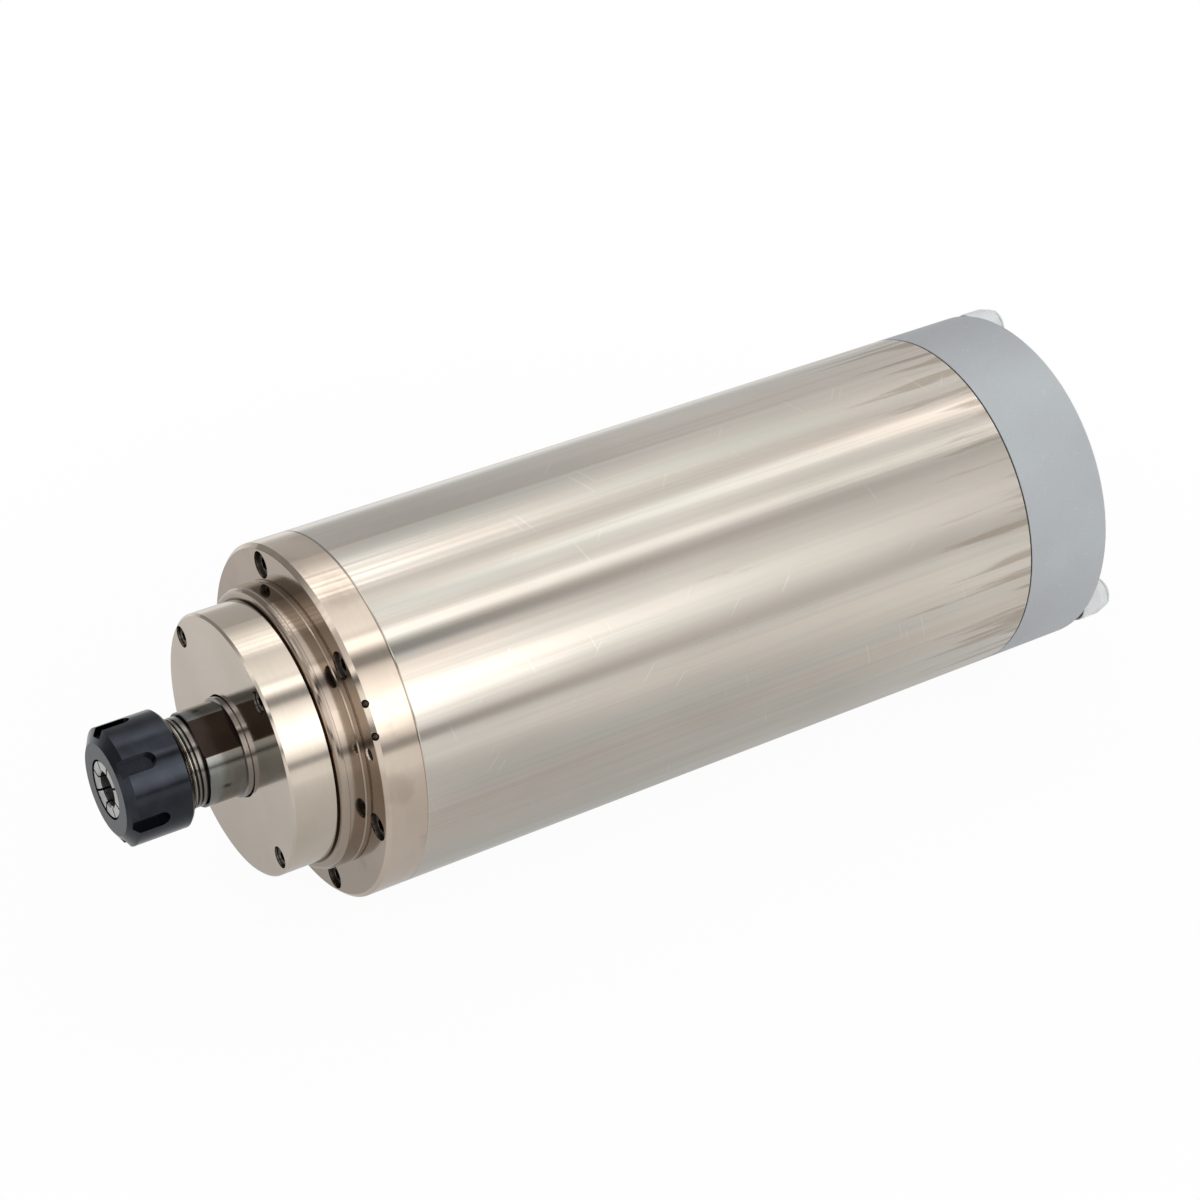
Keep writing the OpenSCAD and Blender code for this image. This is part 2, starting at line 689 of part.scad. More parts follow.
// Turned outline of the shaft, from the nose to the tail
module shaft_outline() {
    neck_r = neck_d / 2;
    band_r = thread_r - 0.4;
    undercut_r = thread_r - thread_depth - 0.3;
    labyrinth_r = labyrinth_d / 2;
    rear_end_x = stack_x + stack_len + end_ring_len + 3;
    polygon([[0, nose_x], [thread_r - thread_depth, nose_x], [thread_r, nose_x + thread_depth],
        [thread_r, band_x], [band_r, band_x + 0.3], [band_r, neck_x - undercut_len],
        [undercut_r, neck_x - undercut_len], [undercut_r, neck_x],
        [neck_r - 0.3, neck_x], [neck_r, neck_x + 0.3], [neck_r, collar_x - 0.3],
        [front_seat_r, collar_x], [front_seat_r, labyrinth_x], [labyrinth_r, labyrinth_x],
        [labyrinth_r, labyrinth_x + labyrinth_len * 0.25],
        [labyrinth_r - 1.2, labyrinth_x + labyrinth_len * 0.25],
        [labyrinth_r - 1.2, labyrinth_x + labyrinth_len * 0.42],
        [labyrinth_r, labyrinth_x + labyrinth_len * 0.42],
        [labyrinth_r, labyrinth_x + labyrinth_len * 0.62],
        [labyrinth_r - 1.2, labyrinth_x + labyrinth_len * 0.62],
        [labyrinth_r - 1.2, labyrinth_x + labyrinth_len * 0.8],
        [labyrinth_r, labyrinth_x + labyrinth_len * 0.8], [labyrinth_r, brg_1_x],
        [front_seat_r, brg_1_x], [front_seat_r, front_shoulder_x], [front_lock_r, front_shoulder_x],
        [front_lock_r, lock_seat_x], [rotor_seat_r, lock_seat_x], [rotor_seat_r, rear_end_x],
        [rear_step_d / 2, rear_end_x], [rear_step_d / 2, rear_brg_1_x],
        [rear_seat_r, rear_brg_1_x], [rear_seat_r, rear_brg_end_x], [rear_lock_r, rear_brg_end_x],
        [rear_lock_r, shaft_end_x - 1], [rear_lock_r - 1, shaft_end_x], [0, shaft_end_x]]);
}

module shaft() {
    socket_end_x = collet_rear_x + 3;
    shaft_bore_x = collet_rear_x + shaft_bore_len;
    color("#8d8a86") along_axis() difference() {
        rotate_extrude() shaft_outline();
        rotate_extrude() polygon([[0, nose_x - 1], [collet_cone_r(nose_x - 1) + socket_gap, nose_x - 1],
            [collet_cone_r(socket_end_x) + socket_gap, socket_end_x],
            [tool_d / 2 + 1, socket_end_x + 1], [tool_d / 2 + 1, shaft_bore_x],
            [0, shaft_bore_x + tool_d / 4]]);
        for (a = [0, 180]) rotate([0, 0, flat_phase + a])
            translate([flat_w / 2, -neck_d, neck_x - small]) cube([neck_d, 2 * neck_d, flat_len]);
        translate([0, 0, shaft_end_x - 6]) cylinder(r1 = 0, r2 = 4, h = 6 + small);
    }
}

// Outer ring of an angular contact bearing; open is 1 if its low shoulder faces the rear
module outer_ring(x, w, outer, pitch_r, ball_r, open) {
    land = pitch_r + ball_r * 0.56;
    low = pitch_r + ball_r * 0.8;
    difference() {
        rotate_extrude() polygon(open > 0
            ? [[land, x], [outer - fit_gap, x], [outer - fit_gap, x + w], [low, x + w],
               [land, x + w * 0.62]]
            : [[low, x], [outer - fit_gap, x], [outer - fit_gap, x + w], [land, x + w],
               [land, x + w * 0.38]]);
        torus(x + w / 2, pitch_r, ball_r + fit_gap);
    }
}

// Inner ring of the same bearing
module inner_ring(x, w, inner, pitch_r, ball_r) {
    difference() {
        tube(x, x + w, inner + fit_gap, pitch_r - ball_r * 0.6);
        torus(x + w / 2, pitch_r, ball_r + fit_gap);
    }
}

module balls(x, w, pitch_r, ball_r, n) {
    ring_of(n, pitch_r) translate([0, 0, x + w / 2]) sphere(r = ball_r);
}

// Ball cage: a plain ring with one radial pocket a ball
module ball_cage(x, w, pitch_r, ball_r, n) {
    pocket_r = ball_r + 0.12;
    difference() {
        tube(x + w * 0.16, x + w * 0.84, pitch_r - ball_r * 0.42, pitch_r + ball_r * 0.42);
        ring_of(n, pitch_r) translate([-ball_r, 0, x + w / 2]) rotate([0, 90, 0])
            cylinder(r = pocket_r, h = 2 * ball_r);
    }
}

front_pitch_r = (front_brg_r + front_seat_r) / 2;
front_ball_r = (front_brg_r - front_seat_r) * ball_share / 2;
rear_pitch_r = (rear_brg_r + rear_seat_r) / 2;
rear_ball_r = (rear_brg_r - rear_seat_r) * ball_share / 2;
ring_steel = "#b9bcc0";
cage_brown = "#7a4b25";

module front_bearing_1_outer() {
    color(ring_steel) along_axis()
        outer_ring(brg_1_x, front_brg_w, front_brg_r, front_pitch_r, front_ball_r, 1);
}

module front_bearing_1_inner() {
    color(ring_steel) along_axis()
        inner_ring(brg_1_x, front_brg_w, front_seat_r, front_pitch_r, front_ball_r);
}

module front_bearing_1_balls() {
    color("#d8dadd") along_axis()
        balls(brg_1_x, front_brg_w, front_pitch_r, front_ball_r, front_ball_n);
}

module front_bearing_1_cage() {
    color(cage_brown) along_axis()
        ball_cage(brg_1_x, front_brg_w, front_pitch_r, front_ball_r, front_ball_n);
}

module front_bearing_2_outer() {
    color(ring_steel) along_axis()
        outer_ring(brg_2_x, front_brg_w, front_brg_r, front_pitch_r, front_ball_r, -1);
}

module front_bearing_2_inner() {
    color(ring_steel) along_axis()
        inner_ring(brg_2_x, front_brg_w, front_seat_r, front_pitch_r, front_ball_r);
}

module front_bearing_2_balls() {
    color("#d8dadd") along_axis()
        balls(brg_2_x, front_brg_w, front_pitch_r, front_ball_r, front_ball_n);
}

module front_bearing_2_cage() {
    color(cage_brown) along_axis()
        ball_cage(brg_2_x, front_brg_w, front_pitch_r, front_ball_r, front_ball_n);
}

module rear_bearing_1_outer() {
    color(ring_steel) along_axis()
        outer_ring(rear_brg_1_x, rear_brg_w, rear_brg_r, rear_pitch_r, rear_ball_r, -1);
}

module rear_bearing_1_inner() {
    color(ring_steel) along_axis()
        inner_ring(rear_brg_1_x, rear_brg_w, rear_seat_r, rear_pitch_r, rear_ball_r);
}

module rear_bearing_1_balls() {
    color("#d8dadd") along_axis()
        balls(rear_brg_1_x, rear_brg_w, rear_pitch_r, rear_ball_r, rear_ball_n);
}

module rear_bearing_1_cage() {
    color(cage_brown) along_axis()
        ball_cage(rear_brg_1_x, rear_brg_w, rear_pitch_r, rear_ball_r, rear_ball_n);
}

module rear_bearing_2_outer() {
    color(ring_steel) along_axis()
        outer_ring(rear_brg_2_x, rear_brg_w, rear_brg_r, rear_pitch_r, rear_ball_r, -1);
}

module rear_bearing_2_inner() {
    color(ring_steel) along_axis()
        inner_ring(rear_brg_2_x, rear_brg_w, rear_seat_r, rear_pitch_r, rear_ball_r);
}

module rear_bearing_2_balls() {
    color("#d8dadd") along_axis()
        balls(rear_brg_2_x, rear_brg_w, rear_pitch_r, rear_ball_r, rear_ball_n);
}

module rear_bearing_2_cage() {
    color(cage_brown) along_axis()
        ball_cage(rear_brg_2_x, rear_brg_w, rear_pitch_r, rear_ball_r, rear_ball_n);
}

module front_inner_spacer() {
    color("#9a9ca0") along_axis() tube(brg_1_x + front_brg_w, brg_2_x,
        front_seat_r + fit_gap, front_pitch_r - front_ball_r * 0.7);
}

module front_outer_spacer() {
    color("#9a9ca0") along_axis() tube(brg_1_x + front_brg_w, brg_2_x,
        front_pitch_r + front_ball_r * 0.7, front_brg_r - fit_gap);
}

// Round shaft nut with four slots for a hook spanner
module lock_nut(x, w, inner, outer) {
    difference() {
        rotate_extrude() polygon([[inner, x], [outer - 0.5, x], [outer, x + 0.5],
            [outer, x + w - 0.5], [outer - 0.5, x + w], [inner, x + w]]);
        ring_of(4, outer, 45) translate([-2.2, -2.5, x - 1]) cube([5, 5, w + 2]);
    }
}

module front_lock_nut() {
    color("#3c3d40") along_axis()
        lock_nut(front_shoulder_x, front_lock_w, front_lock_r + thread_gap, front_lock_d / 2);
}

module rear_lock_nut() {
    color("#3c3d40") along_axis()
        lock_nut(rear_brg_end_x, rear_lock_w, rear_lock_r + thread_gap, rear_lock_d / 2);
}

module rear_bearing_housing() {
    web_x = seam_x - rear_web_t;
    lip_r = rear_brg_r - 3;
    color("#a9adb0") along_axis() difference() {
        rotate_extrude() polygon([[lip_r, rear_housing_x], [rear_hub_r - 1, rear_housing_x],
            [rear_hub_r, rear_housing_x + 1], [rear_hub_r, web_x],
            [jacket_bore_r - slip_gap, web_x], [jacket_bore_r - slip_gap, seam_x],
            [rear_flange_r, seam_x], [rear_flange_r, rear_deck_x], [rear_brg_r, rear_deck_x],
            [rear_brg_r, rear_brg_1_x - rear_float], [lip_r, rear_brg_1_x - rear_float]]);
        ring_of(rear_screw_n, rear_housing_screw_r, rear_screw_phase)
            rod(seam_x - 1, rear_deck_x + 1, inner_screw_d / 2 + hole_play);
        ring_of(retainer_screw_n, retainer_screw_r, retainer_screw_phase)
            rod(rear_deck_x - inner_thread_depth, rear_deck_x + 1, inner_screw_d / 2);
        for (a = lead_angles) rotate([0, 0, a]) translate([lead_r, 0, 0])
            rod(web_x - 1, rear_deck_x + 1, lead_d / 2 + 1);
    }
}

module rear_housing_screws() {
    color("#2b2b2e") along_axis() ring_of(rear_screw_n, rear_housing_screw_r, rear_screw_phase)
        socket_screw(rear_deck_x + inner_screw_d, -1, inner_screw_d, inner_head_d, inner_screw_d,
            rear_flange_t + inner_thread_depth - 1);
}

module rear_bearing_retainer() {
    spigot_bore_r = rear_lock_d / 2 + run_gap;
    color("#9a9ca0") along_axis() difference() {
        rotate_extrude() polygon([[spigot_bore_r, retainer_x], [rear_brg_r - fit_gap, retainer_x],
            [rear_brg_r - fit_gap, rear_deck_x], [rear_hub_r, rear_deck_x],
            [rear_hub_r, rear_deck_x + retainer_t - 0.5],
            [rear_hub_r - 0.5, rear_deck_x + retainer_t], [spigot_bore_r, rear_deck_x + retainer_t]]);
        ring_of(retainer_screw_n, retainer_screw_r, retainer_screw_phase)
            rod(rear_deck_x - 1, rear_deck_x + retainer_t + 1, inner_screw_d / 2 + hole_play);
    }
}

module retainer_screws() {
    color("#2b2b2e") along_axis() ring_of(retainer_screw_n, retainer_screw_r, retainer_screw_phase)
        socket_screw(rear_deck_x + retainer_t + inner_screw_d, -1, inner_screw_d, inner_head_d,
            inner_screw_d, retainer_t + inner_thread_depth - 1);
}

// Wave spring: a flat strip bent into three waves, between the bearing and its retainer
module preload_spring() {
    steps = 72;
    waves = 3;
    strip_t = 0.5;
    swing = (spring_len - strip_t) / 2 - 0.02;
    mid_x = rear_brg_end_x + spring_len / 2;
    inner = rear_lock_d / 2 + run_gap;
    outer = rear_brg_r - 0.4;
    points = [for (i = [0 : steps - 1], side = [0, 1, 2, 3])
        let (a = i * 360 / steps, r = side < 2 ? inner : outer,
             x = mid_x + swing * cos(waves * a) + (side == 0 || side == 3 ? -1 : 1) * strip_t / 2)
        [r * cos(a), r * sin(a), x]];
    faces = [for (i = [0 : steps - 1], side = [0, 1, 2, 3], half = [0, 1])
        let (j = (i + 1) % steps, next = (side + 1) % 4,
             a = 4 * i + side, b = 4 * i + next, c = 4 * j + next, d = 4 * j + side)
        half == 0 ? [a, b, c] : [a, c, d]];
    color("#5a5c60") along_axis() polyhedron(points, faces);
}

module rear_cover() {
    cover_rim_x = body_len - cover_wall_t;
    color("#a3a9ad") along_axis() difference() {
        rotate_extrude() polygon([[cover_recess_r, seam_x], [body_r - seam_chamfer, seam_x],
            [body_r, seam_x + seam_chamfer], [body_r, body_len - rim_chamfer],
            [body_r - rim_chamfer, body_len], [plug_hole_r, body_len],
            [plug_hole_r, cover_rim_x], [cover_cavity_r, cover_rim_x],
            [cover_cavity_r, seam_x + cover_recess_len], [cover_recess_r, seam_x + cover_recess_len]]);
        ring_of(flange_screw_n, flange_screw_r, cover_screw_phase)
            screw_hole(body_len, -1, big_screw_d, big_cbore_d, big_cbore_depth, cover_len + 1);
        for (a = [fitting_in_angle, fitting_out_angle]) rotate([0, 0, a])
            translate([fitting_r, 0, 0]) {
                rod(seam_x - 1, body_len - stem_len, port_r);
                rod(seam_x - 1, seam_x + port_ring_d, port_r + port_ring_d + 0.3);
                rod(body_len - stem_len, body_len + 1, stem_r);
            }
        ring_of(4, plug_screw_r, 45)
            rod(body_len - cover_wall_t + 2, body_len + 1, inner_screw_d / 2);
    }
}

module rear_cover_screws() {
    color("#2b2b2e") along_axis() ring_of(flange_screw_n, flange_screw_r, cover_screw_phase)
        socket_screw(body_len - big_cbore_depth + big_head_h, -1, big_screw_d, big_head_d,
            big_head_h, cover_len - big_cbore_depth + big_thread_depth - 1);
}

module port_o_rings() {
    color("#1c1c1c") along_axis() for (a = [fitting_in_angle, fitting_out_angle]) rotate([0, 0, a])
        translate([fitting_r, 0, 0])
            torus(seam_x + port_ring_d / 2, port_r + 0.2 + port_ring_d / 2, port_ring_d / 2 - 0.02);
}

// Places a fitting's piece at its angle round the spindle
module at_fitting(angle) {
    along_axis() rotate([0, 0, angle]) translate([fitting_r, 0, 0]) children();
}

// Brass stem: thread in the cover, neck through the base ring, foot in the plastic body
module stem(angle) {
    color("#b8a069") at_fitting(angle) difference() {
        rotate_extrude() polygon([[port_r, body_len - stem_len],
            [stem_r - thread_gap - 0.5, body_len - stem_len],
            [stem_r - thread_gap, body_len - stem_len + 0.5], [stem_r - thread_gap, body_len],
            [stem_neck_r, body_len], [stem_neck_r, stem_end_x], [port_r, stem_end_x]]);
    }
}

// Plastic body: bored for the stem's foot, the hose and the release collar
module fitting_body(angle) {
    color("#dfe3e2") at_fitting(angle) rotate_extrude() polygon([
        [stem_neck_r + fit_gap, fitting_x], [fitting_body_r - 0.3, fitting_x],
        [fitting_body_r, fitting_x + 0.3], [fitting_body_r, fitting_taper_x],
        [fitting_end_d / 2, fitting_end_x], [release_r + slip_gap, fitting_end_x],
        [release_r + slip_gap, release_floor_x], [hose_r, release_floor_x],
        [hose_r, hose_stop_x], [port_r, hose_stop_x], [port_r, stem_end_x],
        [stem_neck_r + fit_gap, stem_end_x]]);
}

// Release collar: a sleeve round the hose with a rounded lip at its end
module release_collar(angle) {
    lip_r = fitting_end_d / 2 - 0.6;
    sleeve_x = release_floor_x + release_travel + 0.1;
    color("#cfd4d4") at_fitting(angle) rotate_extrude() polygon([
        [hose_r, sleeve_x], [release_r, sleeve_x],
        [release_r, release_end_x - release_lip], [lip_r, release_end_x - release_lip],
        [lip_r, release_end_x - 0.4], [lip_r - 0.4, release_end_x],
        [hose_r + 0.3, release_end_x], [hose_r, release_end_x - 0.3]]);
}

module water_in_stem() stem(fitting_in_angle);
module water_in_body() fitting_body(fitting_in_angle);
module water_in_release() release_collar(fitting_in_angle);
module water_out_stem() stem(fitting_out_angle);
module water_out_body() fitting_body(fitting_out_angle);
module water_out_release() release_collar(fitting_out_angle);

module fitting_seals() {
    for (a = [fitting_in_angle, fitting_out_angle]) color("#202020") at_fitting(a)
        tube(body_len, fitting_x, stem_neck_r + fit_gap, fitting_body_r - 0.4);
}

// Square plate with rounded corners, from station x0 to x1
module plate(x0, x1, w, r) {
    for (turn = [0, 90]) rotate([0, 0, turn])
        translate([-w / 2 + r, -w / 2, x0]) cube([w - 2 * r, w, x1 - x0]);
    for (sx = [-1, 1], sy = [-1, 1]) translate([sx * (w / 2 - r), sy * (w / 2 - r), 0]) rod(x0, x1, r);
}

module connector_shell() {
    color("#b4b6ba") along_axis() difference() {
        union() {
            plate(body_len, plug_x, plug_flange_w, 2.5);
            rotate_extrude() polygon([[0, body_len], [0, plug_end_x],
                [plug_r - 0.5, plug_end_x], [plug_r, plug_end_x - 0.5], [plug_r, body_len]]);
            rod(plug_insert_x, body_len + small, plug_hole_r - fit_gap);
        }
        rod(plug_insert_x - 1, plug_end_x + 1, plug_bore_r);
        ring_of(4, plug_screw_r, 45)
            rod(body_len - 1, plug_x + 1, inner_screw_d / 2 + hole_play);
    }
    color("#b4b6ba") along_axis() translate([plug_bore_r - 0.8, -0.7, plug_floor_x])
        cube([1.2, 1.4, socket_depth - 2]);
}

module connector_insert() {
    color("#26282a") along_axis() difference() {
        rod(plug_insert_x, plug_floor_x, plug_bore_r - fit_gap);
        ring_of(pin_n, pin_r) rod(plug_insert_x - 1, plug_end_x, pin_d / 2 + fit_gap);
    }
}

module connector_pins() {
    pin_end_x = plug_end_x - 2.5;
    color("#d6b25a") along_axis() ring_of(pin_n, pin_r) {
        rod(pin_tail_x, pin_end_x - pin_d / 4, pin_d / 2);
        translate([0, 0, pin_end_x - pin_d / 4]) cylinder(d1 = pin_d, d2 = pin_d / 2, h = pin_d / 4);
    }
}

module connector_screws() {
    color("#2b2b2e") along_axis() ring_of(4, plug_screw_r, 45)
        socket_screw(plug_x + inner_screw_d * 0.6, -1, inner_screw_d, inner_head_d,
            inner_screw_d * 0.6, plug_flange_t + plug_screw_grip);
}

// One lead: straight out of the start station, in towards the axis, then on to its pin
module lead(start_x) {
    inner_x = pin_tail_x - lead_bend;
    bend_x = inner_x - lead_bend;
    translate([lead_r, 0, 0]) rod(start_x, bend_x, lead_d / 2);
    translate([lead_r - lead_bend, 0, bend_x]) rotate([90, 0, 0]) rotate_extrude(angle = 90)
        translate([lead_bend, 0]) circle(d = lead_d, $fn = 24);
    translate([pin_r + lead_bend, 0, inner_x]) rotate([0, 90, 0])
        cylinder(d = lead_d, h = lead_r - pin_r - 2 * lead_bend);
    translate([pin_r + lead_bend, 0, pin_tail_x]) rotate([90, 0, 0]) rotate([0, 0, 180])
        rotate_extrude(angle = 90) translate([lead_bend, 0]) circle(d = lead_d, $fn = 24);
}

// Three phase leads from the windings, and the earth lead from the bearing housing
module leads() {
    color("#7b2020") along_axis() {
        for (a = lead_angles) rotate([0, 0, a])
            lead(stack_x + stack_len + end_turn_len);
        lead(rear_deck_x);
    }
}

module collet() {
    bore_r = tool_d / 2;
    solid_end = 5;
    color("#cfcac2") along_axis() difference() {
        rotate_extrude() polygon([[bore_r + 0.6, collet_x], [collet_face_r, collet_x],
            [collet_front_r, collet_x + collet_front_len],
            [collet_groove_r, collet_x + collet_front_len],
            [collet_groove_r, collet_cone_x], [collet_r, collet_cone_x],
            [collet_cone_r(collet_rear_x - 0.5), collet_rear_x - 0.5],
            [collet_cone_r(collet_rear_x) - 0.5, collet_rear_x], [bore_r, collet_rear_x],
            [bore_r, collet_x + 0.6]]);
        for (i = [0 : slit_n - 1]) {
            rotate([0, 0, slit_phase + i * 360 / slit_n])
                translate([bore_r / 2, -slit_w / 2, collet_x - 1])
                    cube([collet_r, slit_w, collet_len + 1 - solid_end]);
            rotate([0, 0, slit_phase + (i + 0.5) * 360 / slit_n])
                translate([bore_r / 2, -slit_w / 2, collet_x + solid_end + 3])
                    cube([collet_r, slit_w, collet_len]);
        }
    }
}

// Spanner slot in the nut, open at the front and rounded at its rear end
module nut_slot() {
    end_x = nut_x + nut_slot_len - nut_slot_w / 2;
    floor_r = nut_r - nut_slot_depth;
    translate([floor_r, -nut_slot_w / 2, nut_x - 1]) cube([5, nut_slot_w, end_x - nut_x + 1]);
    translate([floor_r, 0, end_x]) rotate([0, 90, 0]) cylinder(d = nut_slot_w, h = 5);
}

module collet_nut() {
    grip_gap = 0.15;
    mouth_r = nut_mouth_d / 2;
    cone_x = collet_x + (mouth_r - grip_gap - collet_face_r) / tan(30);
    groove_x = collet_x + collet_front_len;
    rear_chamfer = 1;
    color("#2a2d33") along_axis() difference() {
        rotate_extrude() polygon([[mouth_r, nut_x], [nut_face_d / 2, nut_x],
            [nut_r, nut_x + nut_cone_len], [nut_r, nut_rear_x - rear_chamfer],
            [nut_r - rear_chamfer, nut_rear_x], [thread_r + thread_depth, nut_rear_x],
            [thread_r + thread_gap, nut_rear_x - thread_depth], [thread_r + thread_gap, nose_x - 0.5],
            [thread_r + 0.3, nose_x - 0.5], [thread_r + 0.3, nose_x - 1.6],
            [collet_r + run_gap, nose_x - 1.6], [collet_r + run_gap, groove_x + 1.5],
            [collet_groove_r + grip_gap, groove_x + 1.5], [collet_groove_r + grip_gap, groove_x + 0.3],
            [collet_front_r + grip_gap, groove_x + 0.3], [collet_front_r + grip_gap, groove_x],
            [mouth_r, cone_x]]);
        ring_of(nut_slot_n, 0, nut_slot_phase) nut_slot();
    }
}

front_flange();
flange_screws();
bearing_cap();
cap_screws();
outer_shell();
water_jacket();
jacket_o_rings();
stator_core();
stator_windings();
rotor_core();
rotor_cage();
shaft();
front_bearing_1_outer();
front_bearing_1_inner();
front_bearing_1_balls();
front_bearing_1_cage();
front_bearing_2_outer();
front_bearing_2_inner();
front_bearing_2_balls();
front_bearing_2_cage();
rear_bearing_1_outer();
rear_bearing_1_inner();
rear_bearing_1_balls();
rear_bearing_1_cage();
rear_bearing_2_outer();
rear_bearing_2_inner();
rear_bearing_2_balls();
rear_bearing_2_cage();
front_inner_spacer();
front_outer_spacer();
front_lock_nut();
rear_lock_nut();
rear_bearing_housing();
rear_housing_screws();
rear_bearing_retainer();
retainer_screws();
preload_spring();
rear_cover();
rear_cover_screws();
port_o_rings();
water_in_stem();
water_in_body();
water_in_release();
water_out_stem();
water_out_body();
water_out_release();
fitting_seals();
connector_shell();
connector_insert();
connector_pins();
connector_screws();
leads();
collet();
collet_nut();
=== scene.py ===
"""Motor spindle: camera, finishes, the shaft's real thread, floor and light, round its CAD frame.

Lengths are in metres. X runs along the spindle's axis from the tool end to the rear, and Z is up.
"""
from functools import cached_property
import math

import bmesh
import bpy
from mathutils import Matrix, Vector


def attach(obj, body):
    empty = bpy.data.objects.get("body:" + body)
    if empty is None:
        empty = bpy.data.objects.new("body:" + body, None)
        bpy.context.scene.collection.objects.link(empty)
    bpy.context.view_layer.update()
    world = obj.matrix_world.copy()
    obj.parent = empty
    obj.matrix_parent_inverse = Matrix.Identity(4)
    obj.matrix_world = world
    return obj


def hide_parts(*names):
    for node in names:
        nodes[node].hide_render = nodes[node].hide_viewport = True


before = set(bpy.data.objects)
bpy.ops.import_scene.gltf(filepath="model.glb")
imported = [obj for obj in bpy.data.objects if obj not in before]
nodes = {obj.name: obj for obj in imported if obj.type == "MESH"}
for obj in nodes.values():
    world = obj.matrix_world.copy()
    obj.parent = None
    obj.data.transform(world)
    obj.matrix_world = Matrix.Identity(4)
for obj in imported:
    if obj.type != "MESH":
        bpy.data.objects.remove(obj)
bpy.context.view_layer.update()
scene = bpy.context.scene


# Places on the object that the finishes follow, as part.scad has them

BODY_R = 0.0625
SEAM_X = 0.263  # between shell and cover
SEAM_DARK, SEAM_CLEAN = 0.00022, 0.00032  # distances where the seam's dirt begins to fade, and ends
HOLES_R = 0.0606  # inside it, what lies behind the flange's face is in a hole
CAP_GAP_R = 0.0465  # inside it, the register's front lies in the gap round the cap
PUNCH_ANGLES, PUNCH_R, PUNCH_X = (53.9, 64.1), 0.06175, 0.00075
PIT_SHADE_R, PIT_SHADE_END_R = 0.00134, 0.00144  # round a punch mark's middle: painted shade in its pit, full inside the first and gone at the second
FLAT_ANGLE, FLAT_AWAY = math.radians(31), 0.0150
COLLAR_X, NECK_X, UNDERCUT_X, BAND_X = -0.0271, -0.0403, -0.0410, -0.0445
ROOT_R, FLANK_R = 0.01510, 0.01550  # the thread's roots get painted shade up to the first, and none from the second
SHEETS_A_METRE = 2000.0


# Camera, fitted to the circles of the nut, cap, flange and cover in the photograph

CAMERA_LENS, CAMERA_SENSOR = 91.12, 36
CAMERA_AT = (-0.35135, -0.76304, 0.58671)
CAMERA_TURN = (0.996665, 0.009971, -0.559403)

camera_data = bpy.data.cameras.new("camera")
camera_data.sensor_fit = "HORIZONTAL"
camera_data.sensor_width = CAMERA_SENSOR
camera_data.lens = CAMERA_LENS
camera_data.clip_start = 0.01
camera_data.clip_end = 50
camera = bpy.data.objects.new("camera", camera_data)
camera.location = CAMERA_AT
camera.rotation_euler = CAMERA_TURN
scene.collection.objects.link(camera)
scene.camera = camera


# Node helpers

def rgba(color):
    return (*color, 1) if isinstance(color, tuple) else color


